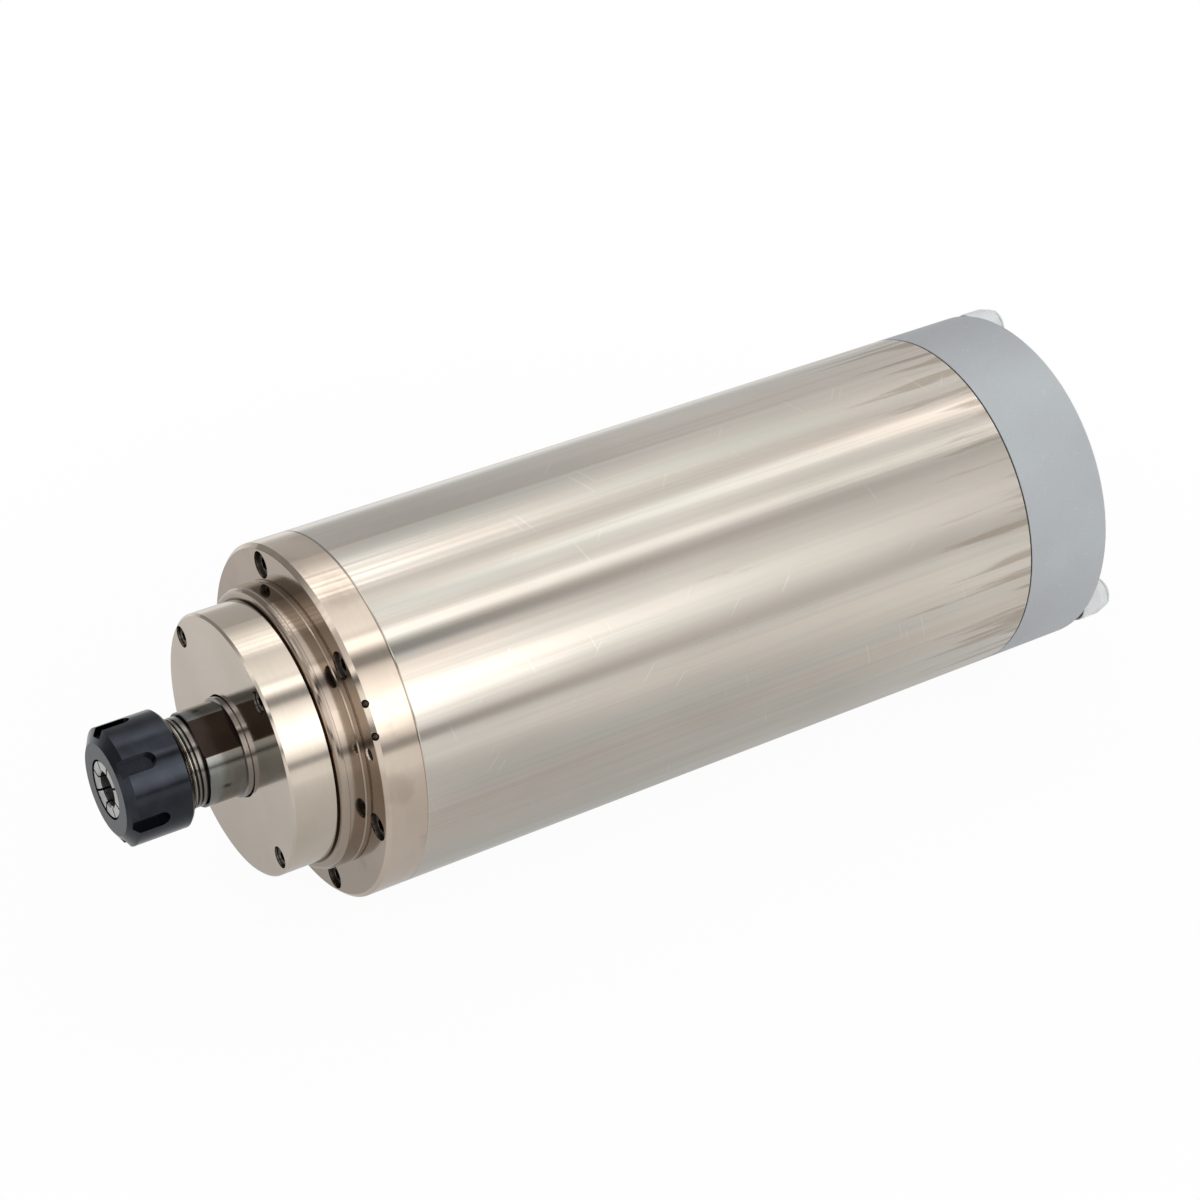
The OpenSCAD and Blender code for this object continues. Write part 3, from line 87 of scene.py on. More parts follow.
class Graph:
    """The node tree of a material or world, with short calls for the nodes that are used below."""

    def __init__(self, owner):
        owner.use_nodes = True
        self.owner = owner
        self.tree = owner.node_tree
        self.tree.nodes.clear()

    def add(self, kind, inputs=None, **settings):
        """New node. An input that is a socket is linked, and any other is set."""
        node = self.tree.nodes.new("ShaderNode" + kind)
        for key, value in settings.items():
            setattr(node, key, value)
        for key, value in (inputs or {}).items():
            if isinstance(value, bpy.types.NodeSocket):
                self.tree.links.new(value, node.inputs[key])
            else:
                node.inputs[key].default_value = value
        return node

    def calc(self, operation, *values, clamp=False):
        inputs = dict(enumerate(values))
        return self.add("Math", inputs, operation=operation, use_clamp=clamp).outputs[0]

    def hypot(self, a, b):
        squares = self.calc("ADD", self.calc("MULTIPLY", a, a), self.calc("MULTIPLY", b, b))
        return self.calc("SQRT", squares)

    def remap(self, value, low, high, to_low=0.0, to_high=1.0, smooth=False):
        inputs = {0: value, 1: low, 2: high, 3: to_low, 4: to_high}
        kind = "SMOOTHSTEP" if smooth else "LINEAR"
        return self.add("MapRange", inputs, clamp=True, interpolation_type=kind).outputs[0]

    def soft(self, value, low, high, most=1.0):
        """Soft-edged mask: 0 up to low, and its most from high on."""
        return self.remap(value, low, high, 0.0, most, smooth=True)

    def spread(self, noise, low, high):
        """A noise, which lies mostly between 0.3 and 0.7, spread from low to high."""
        return self.remap(noise, 0.3, 0.7, low, high)

    def mix(self, factor, a, b):
        return self.add("Mix", {0: factor, 6: rgba(a), 7: rgba(b)}, data_type="RGBA").outputs[2]

    @cached_property
    def place(self):
        """A point's place in the row frame."""
        return self.add("TexCoord").outputs["Object"]

    @cached_property
    def xyz(self):
        return self.add("SeparateXYZ", {0: self.place}).outputs[:]

    @cached_property
    def turned(self):
        """Distance from the spindle's axis, and the cosine and sine of the angle round it."""
        y, z = self.xyz[1:]
        r = self.hypot(y, z)
        r_safe = self.calc("MAXIMUM", r, 1e-5)
        return r, self.calc("DIVIDE", y, r_safe), self.calc("DIVIDE", z, r_safe)

    def turned_noise(self, along, around, detail, shift=0.0, rough=0.5):
        """Noise drawn out round the axis. A higher along gives finer lines, and a higher around
        shorter ones. A shift along the axis makes one noise differ from another."""
        r, cos, sin = self.turned
        vector = self.add("CombineXYZ", {
            0: self.calc("MULTIPLY", self.calc("ADD", self.xyz[0], shift), along),
            1: self.calc("MULTIPLY", r, along),
            2: self.calc("MULTIPLY", cos, around)}).outputs[0]
        inputs = {"Vector": vector, "W": self.calc("MULTIPLY", sin, around),
                  "Scale": 1.0, "Detail": detail, "Roughness": rough}
        return self.add("TexNoise", inputs, noise_dimensions="4D").outputs[0]

    def noise(self, scale, detail, stretch=None):
        place = self.place
        if stretch:
            place = self.add("VectorMath", {0: place, 1: stretch}, operation="MULTIPLY").outputs[0]
        return self.add("TexNoise", {"Vector": place, "Scale": scale, "Detail": detail}).outputs[0]

    def hairlines(self, degrees, along, across, share):
        """Mask of thin straight scratches on the body's cylinder, at an angle to the axis."""
        r, cos, sin = self.turned
        turn = self.calc("ARCTAN2", cos, sin)
        flat = self.add("CombineXYZ", {
            0: self.xyz[0], 1: self.calc("MULTIPLY", turn, BODY_R), 2: r}).outputs[0]
        spin = self.add("VectorRotate", {"Vector": flat, "Angle": math.radians(degrees)},
                        rotation_type="Z_AXIS").outputs[0]
        long = self.add("VectorMath", {0: spin, 1: (along, across, 0.0)},
                        operation="MULTIPLY").outputs[0]
        hair = self.add("TexNoise", {"Vector": long, "Scale": 1.0, "Detail": 0.0}).outputs[0]
        return self.soft(hair, 1.0 - share, 1.0 - share + 0.05)

    def spread_sum(self, one, two):
        """Sum of two noises, each given as (noise, low, high)."""
        return self.calc("ADD", self.spread(*one), self.spread(*two))

    def bump(self, height, distance, strength=1.0, normal=None):
        inputs = {"Height": height, "Distance": distance, "Strength": strength}
        if normal is not None:
            inputs["Normal"] = normal
        return self.add("Bump", inputs).outputs[0]

    def line_bump(self, fine, coarse, depth):
        """Turned lines: coarse ones of this depth, and fine ones half as deep."""
        return self.bump(coarse, depth, normal=self.bump(fine, depth * 0.5))

    def finish(self, color, rough, normal, **others):
        """Surface shader. The others are named as its sockets are, with _ for a space."""
        inputs = {"Base Color": color, "Roughness": rough, "Normal": normal}
        inputs.update((key.replace("_", " "), value) for key, value in others.items())
        shader = self.add("BsdfPrincipled", inputs)
        self.add("OutputMaterial", {0: shader.outputs[0]})
        return self.owner

    def finish_turned(self, color, rough, normal, aniso):
        """Metal with fine lines round the axis, which draw its highlights out along it."""
        tangent = self.add("Tangent", direction_type="RADIAL", axis="X").outputs[0]
        return self.finish(color, rough, normal, Tangent=tangent, Metallic=1.0, Anisotropic=aniso,
                           Anisotropic_Rotation=0.25)


def new_material(name):
    return Graph(bpy.data.materials.new(name))


# Finishes that several pieces share

def turned_metal(name, light, dark, rough, lines, depth, aniso, blotch):
    """Lathe-turned or ground metal: fine lines round the axis, patches of tone and gloss."""
    g = new_material(name)
    fine = g.turned_noise(lines * 3.1, 3.0, 2.0)
    coarse = g.turned_noise(lines, 1.6, 3.0, shift=0.37)
    patches = g.noise(blotch, 4.0)
    color = g.mix(g.soft(patches, 0.35, 0.68), light, dark)
    color = g.mix(g.spread(coarse, 0.0, 0.22), color, dark)
    gloss = g.spread_sum((patches, rough * 0.85, rough * 1.2), (fine, -0.02, 0.03))
    return g.finish_turned(color, gloss, g.line_bump(fine, coarse, depth), aniso)


def black_oxide(name, tint, rough):
    """Blackened steel: deep and smooth, with slightly paler patches."""
    g = new_material(name)
    patches = g.noise(160.0, 4.0)
    wear = g.turned_noise(2600.0, 4.0, 2.0)
    color = g.mix(g.remap(patches, 0.35, 0.7), tint, tuple(c * 1.35 for c in tint))
    gloss = g.spread_sum((patches, rough * 0.85, rough * 1.2), (wear, -0.02, 0.03))
    return g.finish_turned(color, gloss, g.bump(wear, 0.12e-6), 0.25)


def grained(name, light, dark, rough, scale, depth, metallic):
    """Even fine grain, for moulded, cast or plated surfaces."""
    g = new_material(name)
    grain = g.noise(scale, 2.0)
    patches = g.noise(scale * 0.02, 4.0)
    color = g.mix(g.soft(patches, 0.35, 0.68), light, dark)
    color = g.mix(g.remap(grain, 0.35, 0.75, 0.0, 0.25), color, dark)
    gloss = g.remap(grain, 0.25, 0.75, rough * 0.9, rough * 1.15)
    return g.finish(color, gloss, g.bump(grain, depth), Metallic=metallic)


# Finishes of single pieces

def shell_material():
    """Ground shell: long streaks of tone and shape along it, scratches, tarnish that grows towards
    its rear seam, and only a faint trace of the ground lines round it."""
    g = new_material("ground_shell")
    x = g.xyz[0]
    light, dark, brown = (0.660, 0.608, 0.545), (0.580, 0.540, 0.482), (0.515, 0.460, 0.385)
    warm, cool = (0.655, 0.568, 0.488), (0.588, 0.588, 0.528)
    tarnish, bare, seam_dirt_and_root_shade = (0.385, 0.322, 0.255), (0.84, 0.82, 0.78), (0.030, 0.028, 0.026)
    patches = g.noise(9.0, 4.0, (1.0, 2.2, 2.2))
    ground_lines = g.turned_noise(210.0, 2.2, 1.0, shift=0.11)
    warm_areas = g.turned_noise(3.5, 9.0, 3.0, shift=0.7)
    cool_areas = g.turned_noise(5.0, 5.0, 3.0, shift=1.3)
    streaks = g.turned_noise(6.0, 34.0, 4.0, shift=0.2, rough=0.6)
    waves = g.turned_noise(3.0, 22.0, 3.0, shift=0.4)
    stain = g.turned_noise(15.0, 16.0, 4.0, shift=0.9)
    stain_level = g.remap(x, 0.190, 0.262, 0.70, 0.455)
    smear = g.soft(g.calc("SUBTRACT", stain, stain_level), 0.0, 0.13)
    scratches = g.calc("MAXIMUM", g.hairlines(74, 42.0, 900.0, 0.215),
                       g.hairlines(-48, 60.0, 1100.0, 0.205))
    color = g.mix(g.soft(patches, 0.38, 0.66), light, dark)
    color = g.mix(g.soft(warm_areas, 0.48, 0.66, 0.75), color, warm)
    color = g.mix(g.soft(cool_areas, 0.50, 0.66, 0.6), color, cool)
    color = g.mix(g.soft(streaks, 0.42, 0.66, 0.25), color, brown)
    color = g.mix(g.calc("MULTIPLY", smear, 0.72), color, tarnish)
    color = g.mix(g.calc("MULTIPLY", scratches, 0.22), color, bare)
    seam = g.remap(x, SEAM_X - SEAM_CLEAN, SEAM_X - SEAM_DARK, 0.0, 0.95)
    color = g.mix(seam, color, seam_dirt_and_root_shade)
    rough = g.spread_sum((patches, 0.0, 0.05), (streaks, -0.03, 0.04))
    rough = g.calc("ADD", rough, g.remap(x, 0.012, 0.130, 0.085, 0.200))
    rough = g.calc("ADD", rough, g.calc("MULTIPLY", smear, 0.06))
    wave_strength = g.calc("MULTIPLY", g.remap(x, 0.11, 0.26, 0.12, 1.0, smooth=True), 0.5)
    normal = g.bump(waves, 0.00012, wave_strength)
    normal = g.bump(ground_lines, 0.5e-6, normal=normal)
    return g.finish_turned(color, rough, normal, 0.70)


def flange_material():
    """Turned flange: a bright rim, a browner face and register darkened with painted shade, painted
    shade in its holes and in the gap round the cap, and painted shade in its two punch marks."""
    g = new_material("turned_flange")
    x = g.xyz[0]
    r = g.turned[0]
    light, dark, brown = (0.690, 0.588, 0.492), (0.588, 0.496, 0.408), (0.400, 0.325, 0.255)
    face_and_register_shade, shade, pit_shade = (0.215, 0.165, 0.130), (0.080, 0.060, 0.048), (0.050, 0.040, 0.034)
    fine = g.turned_noise(2200.0, 3.0, 2.0)
    coarse = g.turned_noise(700.0, 1.6, 3.0, shift=0.37)
    patches = g.noise(18.0, 4.0)
    stain = g.noise(55.0, 4.0)
    # Painted shade: the face and register are darkened towards brown, standing in for the dark
    # reflection of the cap and register before them
    face = g.remap(x, -0.0001, 0.0003, 0.55, 0.0)
    # Painted shade: dark inside the holes behind the face, and in the gap round the cap; the holes
    # are also rougher
    holes = g.calc("MULTIPLY", g.remap(x, 0.0004, 0.0008, 0.0, 0.93),
                   g.remap(r, HOLES_R, HOLES_R + 0.0002, 1.0, 0.0))
    gap_shade = g.calc("MULTIPLY", g.remap(x, -0.0001, 0.0, 0.9, 0.0),
                 g.remap(r, CAP_GAP_R, CAP_GAP_R + 0.0002, 1.0, 0.0))
    color = g.mix(g.soft(patches, 0.35, 0.68), light, dark)
    color = g.mix(g.spread(coarse, 0.0, 0.22), color, dark)
    color = g.mix(g.soft(stain, 0.56, 0.70, 0.35), color, brown)
    color = g.mix(face, color, face_and_register_shade)
    color = g.mix(g.calc("MAXIMUM", holes, gap_shade), color, shade)
    # Painted shade: each punch mark's pit is darkened round its middle
    for degrees in PUNCH_ANGLES:
        a = math.radians(degrees)
        centre = (PUNCH_X, -PUNCH_R * math.sin(a), PUNCH_R * math.cos(a))
        away = g.add("VectorMath", {0: g.place, 1: centre}, operation="DISTANCE").outputs["Value"]
        color = g.mix(g.remap(away, PIT_SHADE_R, PIT_SHADE_END_R, 0.92, 0.0), color, pit_shade)
    rough = g.spread_sum((patches, 0.085, 0.125), (fine, -0.01, 0.015))
    rough = g.calc("ADD", rough, g.calc("MULTIPLY", holes, 0.4))
    return g.finish_turned(color, rough, g.line_bump(fine, coarse, 0.3e-6), 0.65)


def shaft_material():
    """Ground shaft: turned lines, a paler collar, milled flats painted near black as a dark
    reflection, and a thread with bright crests, painted shade in its roots and a painted shadow in
    its undercut."""
    g = new_material("ground_shaft")
    x, y, z = g.xyz
    r = g.turned[0]
    light, dark, darkest = (0.245, 0.247, 0.232), (0.185, 0.186, 0.172), (0.14, 0.138, 0.128)
    pale, flat_dark_reflection, flat_paler_reflection = (0.400, 0.372, 0.362), (0.026, 0.017, 0.013), (0.046, 0.033, 0.027)
    bright, band, seam_dirt_and_root_shade = (0.450, 0.430, 0.395), (0.200, 0.186, 0.166), (0.034, 0.028, 0.024)
    fine = g.turned_noise(3200.0, 3.0, 2.0)
    coarse = g.turned_noise(1100.0, 1.8, 3.0, shift=0.37)
    patches = g.noise(70.0, 4.0)
    across = g.calc("ADD", g.calc("MULTIPLY", y, -math.sin(FLAT_ANGLE)),
                    g.calc("MULTIPLY", z, math.cos(FLAT_ANGLE)))
    flat = g.remap(g.calc("ABSOLUTE", across), FLAT_AWAY - 0.00018, FLAT_AWAY - 0.0001)
    flat = g.calc("MULTIPLY", flat, g.remap(x, COLLAR_X - 0.00005, COLLAR_X + 0.00005, 1.0, 0.0))
    flat = g.calc("MULTIPLY", flat, g.remap(x, NECK_X - 0.00005, NECK_X + 0.00005))
    collar = g.remap(x, COLLAR_X - 0.0002, COLLAR_X + 0.0001)
    thread = g.remap(x, NECK_X + 0.00002, NECK_X + 0.00006, 1.0, 0.0)
    # Painted shade in the thread's roots, and a painted shadow in the undercut
    undercut = g.remap(x, UNDERCUT_X - 0.0005, UNDERCUT_X - 0.0002, 0.0, 0.9)
    root = g.calc("MAXIMUM", g.remap(r, ROOT_R, FLANK_R, 1.0, 0.0), undercut)
    color = g.mix(g.soft(patches, 0.35, 0.68), light, dark)
    color = g.mix(collar, color, pale)
    color = g.mix(g.spread(coarse, 0.0, 0.25), color, darkest)
    crest = g.mix(g.remap(x, BAND_X - 0.0005, BAND_X + 0.0005), bright, band)
    color = g.mix(thread, color, g.mix(root, crest, seam_dirt_and_root_shade))
    # Painted dark reflection: the milled flats are coloured near black, in patches
    color = g.mix(flat, color, g.mix(g.remap(patches, 0.35, 0.7), flat_dark_reflection, flat_paler_reflection))
    rough = g.spread_sum((patches, 0.12, 0.165), (fine, -0.015, 0.02))
    return g.finish_turned(color, rough, g.line_bump(fine, coarse, 0.4e-6), 0.35)


def cover_material():
    """Blasted and anodised aluminium: blue-grey, with an even fine grain and a few rubbed spots."""
    g = new_material("blasted_cover")
    light, dark, rubbed = (0.500, 0.536, 0.546), (0.465, 0.476, 0.496), (0.60, 0.61, 0.62)
    deep, seam_dirt_and_root_shade = (0.388, 0.402, 0.418), (0.030, 0.030, 0.030)
    grain = g.noise(2600.0, 2.0)
    patches = g.noise(16.0, 4.0)
    specks = g.remap(g.noise(420.0, 1.0), 0.71, 0.76)
    color = g.mix(g.soft(patches, 0.36, 0.66), light, dark)
    color = g.mix(g.remap(grain, 0.3, 0.72, 0.0, 0.3), color, deep)
    color = g.mix(g.calc("MULTIPLY", specks, 0.35), color, rubbed)
    seam = g.remap(g.xyz[0], SEAM_X + SEAM_DARK, SEAM_X + SEAM_CLEAN, 0.95, 0.0)
    color = g.mix(seam, color, seam_dirt_and_root_shade)
    return g.finish(color, g.spread(grain, 0.46, 0.60), g.bump(grain, 9e-6, 0.6), Metallic=0.62)


def fitting_material():
    """Pale, slightly waxy moulded plastic."""
    g = new_material("pale_plastic")
    swirl = g.noise(120.0, 3.0)
    grain = g.noise(1800.0, 2.0)
    color = g.mix(g.soft(swirl, 0.35, 0.7), (0.735, 0.755, 0.760), (0.675, 0.700, 0.708))
    return g.finish(color, g.spread(grain, 0.28, 0.40), g.bump(grain, 4e-6, 0.4), IOR=1.5,
                    Subsurface_Weight=0.2, Subsurface_Scale=0.003)


def stacked_sheet():
    """Thin steel sheets on edge: close straight lines across the axis."""
    g = new_material("lamination_stack")
    saw = g.calc("FRACT", g.calc("MULTIPLY", g.xyz[0], SHEETS_A_METRE))
    edge = g.remap(g.calc("ABSOLUTE", g.calc("SUBTRACT", saw, 0.5)), 0.36, 0.5)
    patches = g.noise(60.0, 4.0)
    color = g.mix(g.remap(patches, 0.35, 0.7), (0.33, 0.33, 0.34), (0.22, 0.22, 0.235))
    color = g.mix(g.calc("MULTIPLY", edge, 0.7), color, (0.07, 0.07, 0.08))
    return g.finish(color, g.spread(patches, 0.38, 0.52), g.bump(edge, -0.00008, 0.7),
                    Metallic=0.9)


def wound_copper():
    """Varnished wire bundle: strands round the end turns."""
    g = new_material("varnished_windings")
    strands = g.turned_noise(1500.0, 9.0, 2.0)
    patches = g.noise(80.0, 3.0)
    color = g.mix(g.remap(strands, 0.36, 0.66), (0.45, 0.13, 0.04), (0.20, 0.055, 0.02))
    color = g.mix(g.remap(patches, 0.4, 0.7, 0.0, 0.5), color, (0.55, 0.22, 0.06))
    return g.finish(color, g.spread(patches, 0.22, 0.38), g.bump(strands, 0.00025, 0.8),
                    Metallic=0.35, Coat_Weight=0.6, Coat_Roughness=0.15)


# Name: light colour, dark colour, roughness, fineness of the lines, their depth, anisotropy,
# scale of the patches
TURNED = {
    "ground_cap": ((0.68, 0.60, 0.51), (0.59, 0.515, 0.43), 0.125, 1100.0, 0.3e-6, 0.35, 18.0),
    "ground_collet": ((0.56, 0.56, 0.55), (0.43, 0.43, 0.425), 0.24, 1500.0, 0.7e-6, 0.4, 90.0),
    "turned_jacket": ((0.66, 0.67, 0.68), (0.52, 0.53, 0.54), 0.33, 800.0, 1.2e-6, 0.5, 18.0),
    "bearing_steel": ((0.62, 0.63, 0.64), (0.52, 0.53, 0.54), 0.10, 2200.0, 0.25e-6, 0.3, 60.0),
    "turned_brass": ((0.66, 0.47, 0.20), (0.50, 0.34, 0.14), 0.22, 1500.0, 0.8e-6, 0.4, 90.0),
}
# Name: light colour, dark colour, roughness, scale of the grain, its depth, metallic
GRAINED = {
    "cast_cage": ((0.62, 0.63, 0.64), (0.46, 0.47, 0.48), 0.42, 1400.0, 2e-5, 1.0),
    "cage_resin": ((0.34, 0.16, 0.055), (0.20, 0.085, 0.03), 0.5, 1700.0, 1.4e-5, 0.0),
    "spring_steel": ((0.22, 0.22, 0.24), (0.13, 0.13, 0.15), 0.34, 1900.0, 6e-6, 1.0),
    "seal_rubber": ((0.018, 0.018, 0.019), (0.010, 0.010, 0.010), 0.62, 1500.0, 1.2e-5, 0.0),
    "nickel_plate": ((0.56, 0.56, 0.555), (0.44, 0.44, 0.44), 0.30, 1700.0, 5e-6, 1.0),
    "insert_plastic": ((0.026, 0.028, 0.032), (0.014, 0.015, 0.018), 0.42, 1500.0, 1.2e-5, 0.0),
    "contact_gold": ((0.80, 0.56, 0.20), (0.62, 0.42, 0.15), 0.20, 2600.0, 2e-6, 1.0),
    "lead_insulation": ((0.30, 0.030, 0.025), (0.20, 0.018, 0.016), 0.48, 1200.0, 1.2e-5, 0.0),
}
finishes = {
    "turned_flange": flange_material(),
    "ground_shaft": shaft_material(),
    "ground_shell": shell_material(),
    "blasted_cover": cover_material(),
    "pale_plastic": fitting_material(),
    "lamination_stack": stacked_sheet(),
    "varnished_windings": wound_copper(),
    "black_nut": black_oxide("black_nut", (0.030, 0.033, 0.040), 0.15),
    "black_screws": black_oxide("black_screws", (0.050, 0.047, 0.045), 0.28),
    **{name: turned_metal(name, *look) for name, look in TURNED.items()},
    **{name: grained(name, *look) for name, look in GRAINED.items()},
}

BEARINGS = [f"{end}_bearing_{k}" for end in ("front", "rear") for k in (1, 2)]
NODES_OF_FINISH = {
    "turned_flange": ["front_flange"],
    "ground_cap": ["bearing_cap", "rear_bearing_retainer"],
    "ground_shaft": ["shaft"],
    "ground_collet": ["collet"],
    "ground_shell": ["outer_shell"],
    "blasted_cover": ["rear_cover"],
    "black_nut": ["collet_nut"],
    "black_screws": ["flange_screws", "cap_screws", "rear_housing_screws", "retainer_screws",
                     "rear_cover_screws", "connector_screws", "front_lock_nut", "rear_lock_nut"],
    "turned_jacket": ["water_jacket", "rear_bearing_housing"],
    "lamination_stack": ["stator_core", "rotor_core"],
    "varnished_windings": ["stator_windings"],
    "cast_cage": ["rotor_cage"],
    "bearing_steel": ["front_inner_spacer", "front_outer_spacer",
                      *(f"{bearing}_{piece}" for bearing in BEARINGS
                        for piece in ("outer", "inner", "balls"))],
    "cage_resin": [f"{bearing}_cage" for bearing in BEARINGS],
    "spring_steel": ["preload_spring"],
    "seal_rubber": ["jacket_o_rings", "port_o_rings", "fitting_seals"],
    "pale_plastic": ["water_in_body", "water_in_release", "water_out_body", "water_out_release"],
    "turned_brass": ["water_in_stem", "water_out_stem"],
    "nickel_plate": ["connector_shell"],
    "insert_plastic": ["connector_insert"],
    "contact_gold": ["connector_pins"],
    "lead_insulation": ["leads"],
}
finish_of_node = {node: finish for finish, group in NODES_OF_FINISH.items() for node in group}

for name, obj in nodes.items():
    obj.data.materials.clear()
    obj.data.materials.append(finishes[finish_of_node[name]])


# Shaft with its real thread

THREAD_R, THREAD_PITCH, THREAD_DEPTH = 0.016, 0.0015, 0.00092
THREAD_START, THREAD_END = -0.0630, -0.0418
ROOT_FLAT = 0.00025  # the groove's width at its bottom
CUT_CLEARANCE, CUT_WALL_GAP = 0.00012, 0.00004  # the cutter's, over the crests and between turns
THREAD_STEPS = 72  # a turn
RUN_OUT, RUN_OUT_LEFT = 1 / 3, 0.02  # turns over which the groove runs out, and what is left of it
WELD = 2e-7
CREASE = math.radians(24)


def thread_cutter():
    """Mesh of the groove of a right-hand thread, which runs out at its rear end."""
    builder = bmesh.new()
    count = int((THREAD_END - THREAD_START) / THREAD_PITCH * THREAD_STEPS)
    outer = THREAD_R + CUT_CLEARANCE
    rings = []
    for i in range(count + 1):
        a = 2 * math.pi * i / THREAD_STEPS
        x = THREAD_START + THREAD_PITCH * i / THREAD_STEPS
        share = min(1.0, max(RUN_OUT_LEFT, (count - i) / (THREAD_STEPS * RUN_OUT)))
        root = outer - (THREAD_DEPTH + CUT_CLEARANCE) * share
        half_top = (THREAD_PITCH - CUT_WALL_GAP) / 2 * share
        half_root = ROOT_FLAT / 2 * share
        profile = (outer, -half_top), (root, -half_root), (root, half_root), (outer, half_top)
        rings.append([builder.verts.new((x + dx, r * math.cos(a), r * math.sin(a)))
                      for r, dx in profile])
    for one, two in zip(rings, rings[1:]):
        for k in range(4):
            builder.faces.new((one[k], one[(k + 1) % 4], two[(k + 1) % 4], two[k]))
    builder.faces.new(reversed(rings[0]))
    builder.faces.new(rings[-1])
    bmesh.ops.recalc_face_normals(builder, faces=builder.faces)
    mesh = bpy.data.meshes.new("thread_cutter")
    builder.to_mesh(mesh)
    builder.free()
    return mesh


def sharpen(mesh, angle):
    """Smooth faces, with a crisp edge wherever two faces meet at the angle or more."""
    builder = bmesh.new()
    builder.from_mesh(mesh)
    for face in builder.faces:
        face.smooth = True
    for edge in builder.edges:
        edge.smooth = len(edge.link_faces) == 2 and edge.calc_face_angle(0.0) < angle
    builder.to_mesh(mesh)
    builder.free()


def make_threaded_shaft():
    mesh = nodes["shaft"].data.copy()
    builder = bmesh.new()
    builder.from_mesh(mesh)
    bmesh.ops.remove_doubles(builder, verts=builder.verts, dist=WELD)
    bmesh.ops.recalc_face_normals(builder, faces=builder.faces)
    builder.to_mesh(mesh)
    builder.free()
    blank = bpy.data.objects.new("shaft_blank", mesh)
    cutter = bpy.data.objects.new("thread_cutter", thread_cutter())
    for obj in (blank, cutter):
        scene.collection.objects.link(obj)
    cut = blank.modifiers.new("thread", "BOOLEAN")
    cut.operation, cut.solver, cut.object = "DIFFERENCE", "EXACT", cutter
    graph = bpy.context.evaluated_depsgraph_get()
    threaded = bpy.data.meshes.new_from_object(blank.evaluated_get(graph), depsgraph=graph)
    for obj in (blank, cutter):
        bpy.data.objects.remove(obj)
    if "custom_normal" in threaded.attributes:
        threaded.attributes.remove(threaded.attributes["custom_normal"])
    sharpen(threaded, CREASE)
    threaded.materials.clear()
    threaded.materials.append(finishes["ground_shaft"])
    shaft = bpy.data.objects.new("threaded_shaft", threaded)
    scene.collection.objects.link(shaft)
    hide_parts("shaft")
    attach(shaft, "rotor")


make_threaded_shaft()


# Floor, backdrop and light

FLOOR_X, FLOOR_Z, FLOOR_R = 0.12, -0.0625, 6.0


def floor_material():
    """Pale floor. The camera sees it lifted to white, with the object's shadow kept near the
    object, and gloss and glass see it whiter further off."""
    g = new_material("pale_floor")
    x, y = g.xyz[:2]
    grain = g.noise(240.0, 3.0)
    color = g.mix(g.spread(grain, 0.0, 1.0), (0.86, 0.86, 0.85), (0.82, 0.82, 0.815))
    diffuse = g.add("BsdfDiffuse", {"Color": color})
    path = g.add("LightPath")
    seen = path.outputs["Is Camera Ray"]
    bent = g.calc("MAXIMUM", path.outputs["Is Glossy Ray"], path.outputs["Is Transmission Ray"])
    away = g.hypot(g.calc("SUBTRACT", x, FLOOR_X), y)
    bent_glow = g.calc("ADD", g.remap(away, 0.10, 0.50, 0.55, 1.0),
                       g.remap(x, 0.10, 0.40, 0.0, 0.22), clamp=True)
    bent_glow = g.calc("MULTIPLY", bent_glow, g.remap(y, 0.40, 1.30, 1.0, 0.58))
    strength = g.calc("ADD", seen, g.calc("MULTIPLY", bent, bent_glow))
    glow = g.add("Emission", {"Color": (1, 1, 1, 1), "Strength": strength})
    seen_share = g.calc("ADD", 0.955, g.calc("MULTIPLY", g.soft(away, 0.18, 0.45), 0.045))
    share = g.calc("ADD", g.calc("MULTIPLY", seen, seen_share), g.calc("MULTIPLY", bent, 0.85),
                   clamp=True)
    both = g.add("MixShader", {0: share, 1: diffuse.outputs[0], 2: glow.outputs[0]})
    g.add("OutputMaterial", {0: both.outputs[0]})
    return g.owner


def make_floor():
    mesh = bpy.data.meshes.new("floor")
    builder = bmesh.new()
    bmesh.ops.create_circle(builder, cap_ends=True, segments=96, radius=FLOOR_R)
    builder.to_mesh(mesh)
    builder.free()
    mesh.transform(Matrix.Translation((FLOOR_X, 0, FLOOR_Z)))
    mesh.materials.append(floor_material())
    floor = bpy.data.objects.new("floor", mesh)
    scene.collection.objects.link(floor)


def softbox(name, degrees, along, distance, width, length, strength):
    """Area light that faces the spindle's axis: its degrees are from straight up towards the
    camera's side, and along is the place on the axis that it faces."""
    data = bpy.data.lights.new(name, "AREA")
    data.shape = "RECTANGLE"
    data.size = length
    data.size_y = width
    data.energy = strength * math.pi * width * length
    light = bpy.data.objects.new(name, data)
    a = math.radians(degrees)
    out = Vector((0, -math.sin(a), math.cos(a)))
    side = Vector((1, 0, 0))
    turn = Matrix((side, out.cross(side), out)).transposed().to_4x4()
    light.matrix_world = Matrix.Translation(side * along + out * distance) @ turn
    light.visible_camera = False
    scene.collection.objects.link(light)


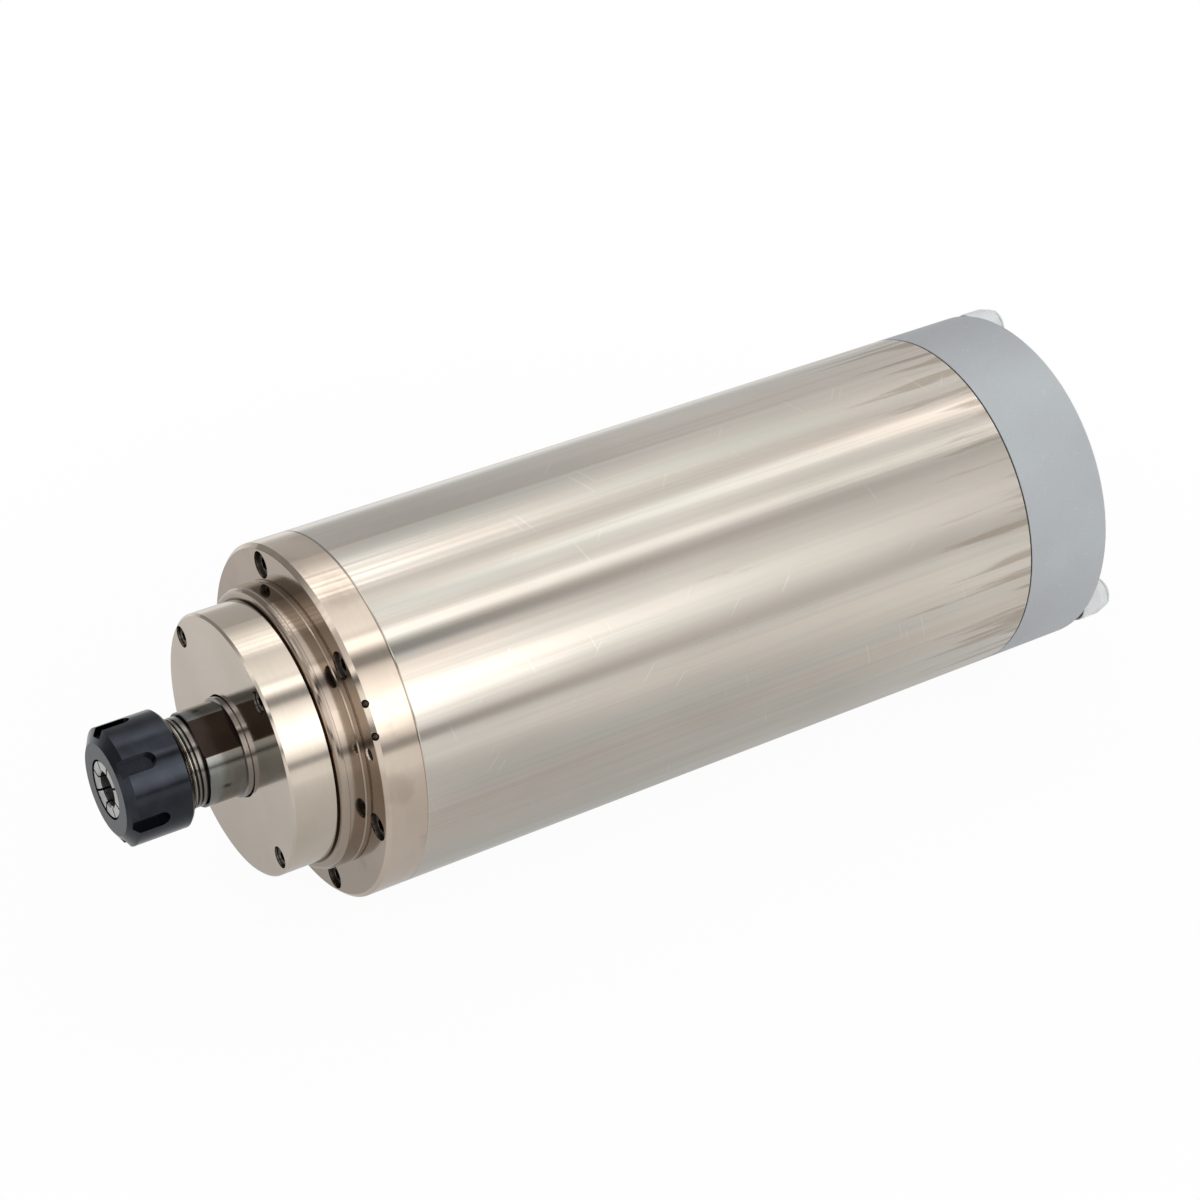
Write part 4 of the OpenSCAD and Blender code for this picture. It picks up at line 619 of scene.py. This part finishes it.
# The studio's panels, as the room's brightness by the degrees round the spindle, from straight up
# towards the camera's side: first for reflections that point forward or sideways, then for those
# that point far along the axis to the rear.
FRONT_PANELS = (
    (-180, 0.55), (-124, 1.25), (-107, 1.20), (-100, 0.76), (-92, 0.56), (-55, 0.53), (-46, 0.85),
    (-34, 1.45), (-25, 1.80), (-19.5, 1.50), (-13.5, 0.92), (3, 1.15), (10, 1.30), (14, 1.10),
    (17, 1.95), (21, 1.95), (25, 0.80), (28, 0.33), (32.5, 0.33), (36, 1.0), (40, 1.35), (47, 1.75),
    (52, 2.0), (71, 2.0), (77, 1.40), (81, 1.02), (83.5, 0.42), (87, 0.42), (91, 1.10), (102, 1.10),
    (118, 0.78), (180, 0.55))
REAR_PANELS = (
    (-180, 0.60), (-124, 1.30), (-107, 1.25), (-100, 0.84), (-90, 0.72), (-60, 0.70), (-36, 0.74),
    (-28, 0.82), (-20, 0.74), (-12, 0.84), (-8, 1.05), (-5, 2.05), (-1, 1.95), (4, 0.84),
    (12, 0.70), (15, 0.74), (18, 1.45), (21, 1.45), (25, 0.80), (30, 0.58), (36, 0.62), (46, 0.58),
    (56, 0.58), (72, 0.66), (84, 0.66), (92, 0.84), (102, 0.84), (120, 0.78), (180, 0.60))
# Where a direction's X passes from the first panels to the second, and from dim to bright
TURN_OVER, DIM, BRIGHT = (0.385, 0.495), -0.15, 0.31
# Fine lines over part of the first panels, with pitches and range in degrees
LINE_PITCHES, LINE_GAIN, LINE_FROM, LINE_TO = (3.3, 5.1), 0.27, -38.0, -17.0
# Share of the white background in what gloss sees
WHITE_SHARE = 0.35


def panel_ramp(g, angle, panels):
    """Colour ramp over the angle, from an element at either end. What gloss sees of the white is
    taken off each level first."""
    node = g.add("ValToRGB", {0: angle})
    elements = node.color_ramp.elements
    for degrees, level in panels:
        at = (degrees + 180) / 360
        element = elements[0] if at == 0 else elements[-1] if at == 1 else elements.new(at)
        value = max(0.0, (level - WHITE_SHARE) / (1 - WHITE_SHARE))
        element.color = (value, value, value, 1)
    return node.outputs[0]


def make_world():
    """Studio of soft panels round the spindle's axis. The camera sees plain white instead, and
    gloss and glass see a share of it."""
    g = Graph(bpy.data.worlds.new("studio"))
    scene.world = g.owner
    direction = g.add("TexCoord").outputs["Generated"]
    x, y, z = g.add("SeparateXYZ", {0: direction}).outputs[:]
    turn = g.calc("ARCTAN2", g.calc("MULTIPLY", y, -1.0), z)
    angle = g.remap(turn, -math.pi, math.pi)
    degrees = g.calc("MULTIPLY", turn, 180 / math.pi)
    waves = [g.calc("SINE", g.calc("MULTIPLY", turn, 360 / pitch)) for pitch in LINE_PITCHES]
    window = g.calc("MULTIPLY", g.soft(degrees, LINE_FROM - 3, LINE_FROM + 1, LINE_GAIN),
                    g.remap(degrees, LINE_TO - 1, LINE_TO + 3, 1.0, 0.0, smooth=True))
    gain = g.calc("MULTIPLY_ADD", g.calc("ADD", *waves), window, 1.0)
    front = g.add("VectorMath", {0: panel_ramp(g, angle, FRONT_PANELS), 3: gain},
                  operation="SCALE").outputs[0]
    panels = g.mix(g.soft(x, *TURN_OVER), front, panel_ramp(g, angle, REAR_PANELS))
    level = g.remap(x, DIM, BRIGHT, 0.60, 1.0, smooth=True)
    room = g.add("Background", {"Color": panels, "Strength": level})
    white = g.add("Background", {"Color": (1, 1, 1, 1), "Strength": 1.0})
    path = g.add("LightPath")
    bent = g.calc("MAXIMUM", path.outputs["Is Glossy Ray"], path.outputs["Is Transmission Ray"])
    bent = g.calc("MULTIPLY", bent, g.remap(x, DIM, BRIGHT, 0.15, WHITE_SHARE, smooth=True))
    share = g.calc("MAXIMUM", path.outputs["Is Camera Ray"], bent)
    both = g.add("MixShader", {0: share, 1: room.outputs[0], 2: white.outputs[0]})
    g.add("OutputWorld", {0: both.outputs[0]})


make_floor()
make_world()
softbox("key", degrees=61, along=0.42, distance=1.1, width=0.30, length=0.70, strength=0.35)

scene.view_settings.view_transform = "Standard"
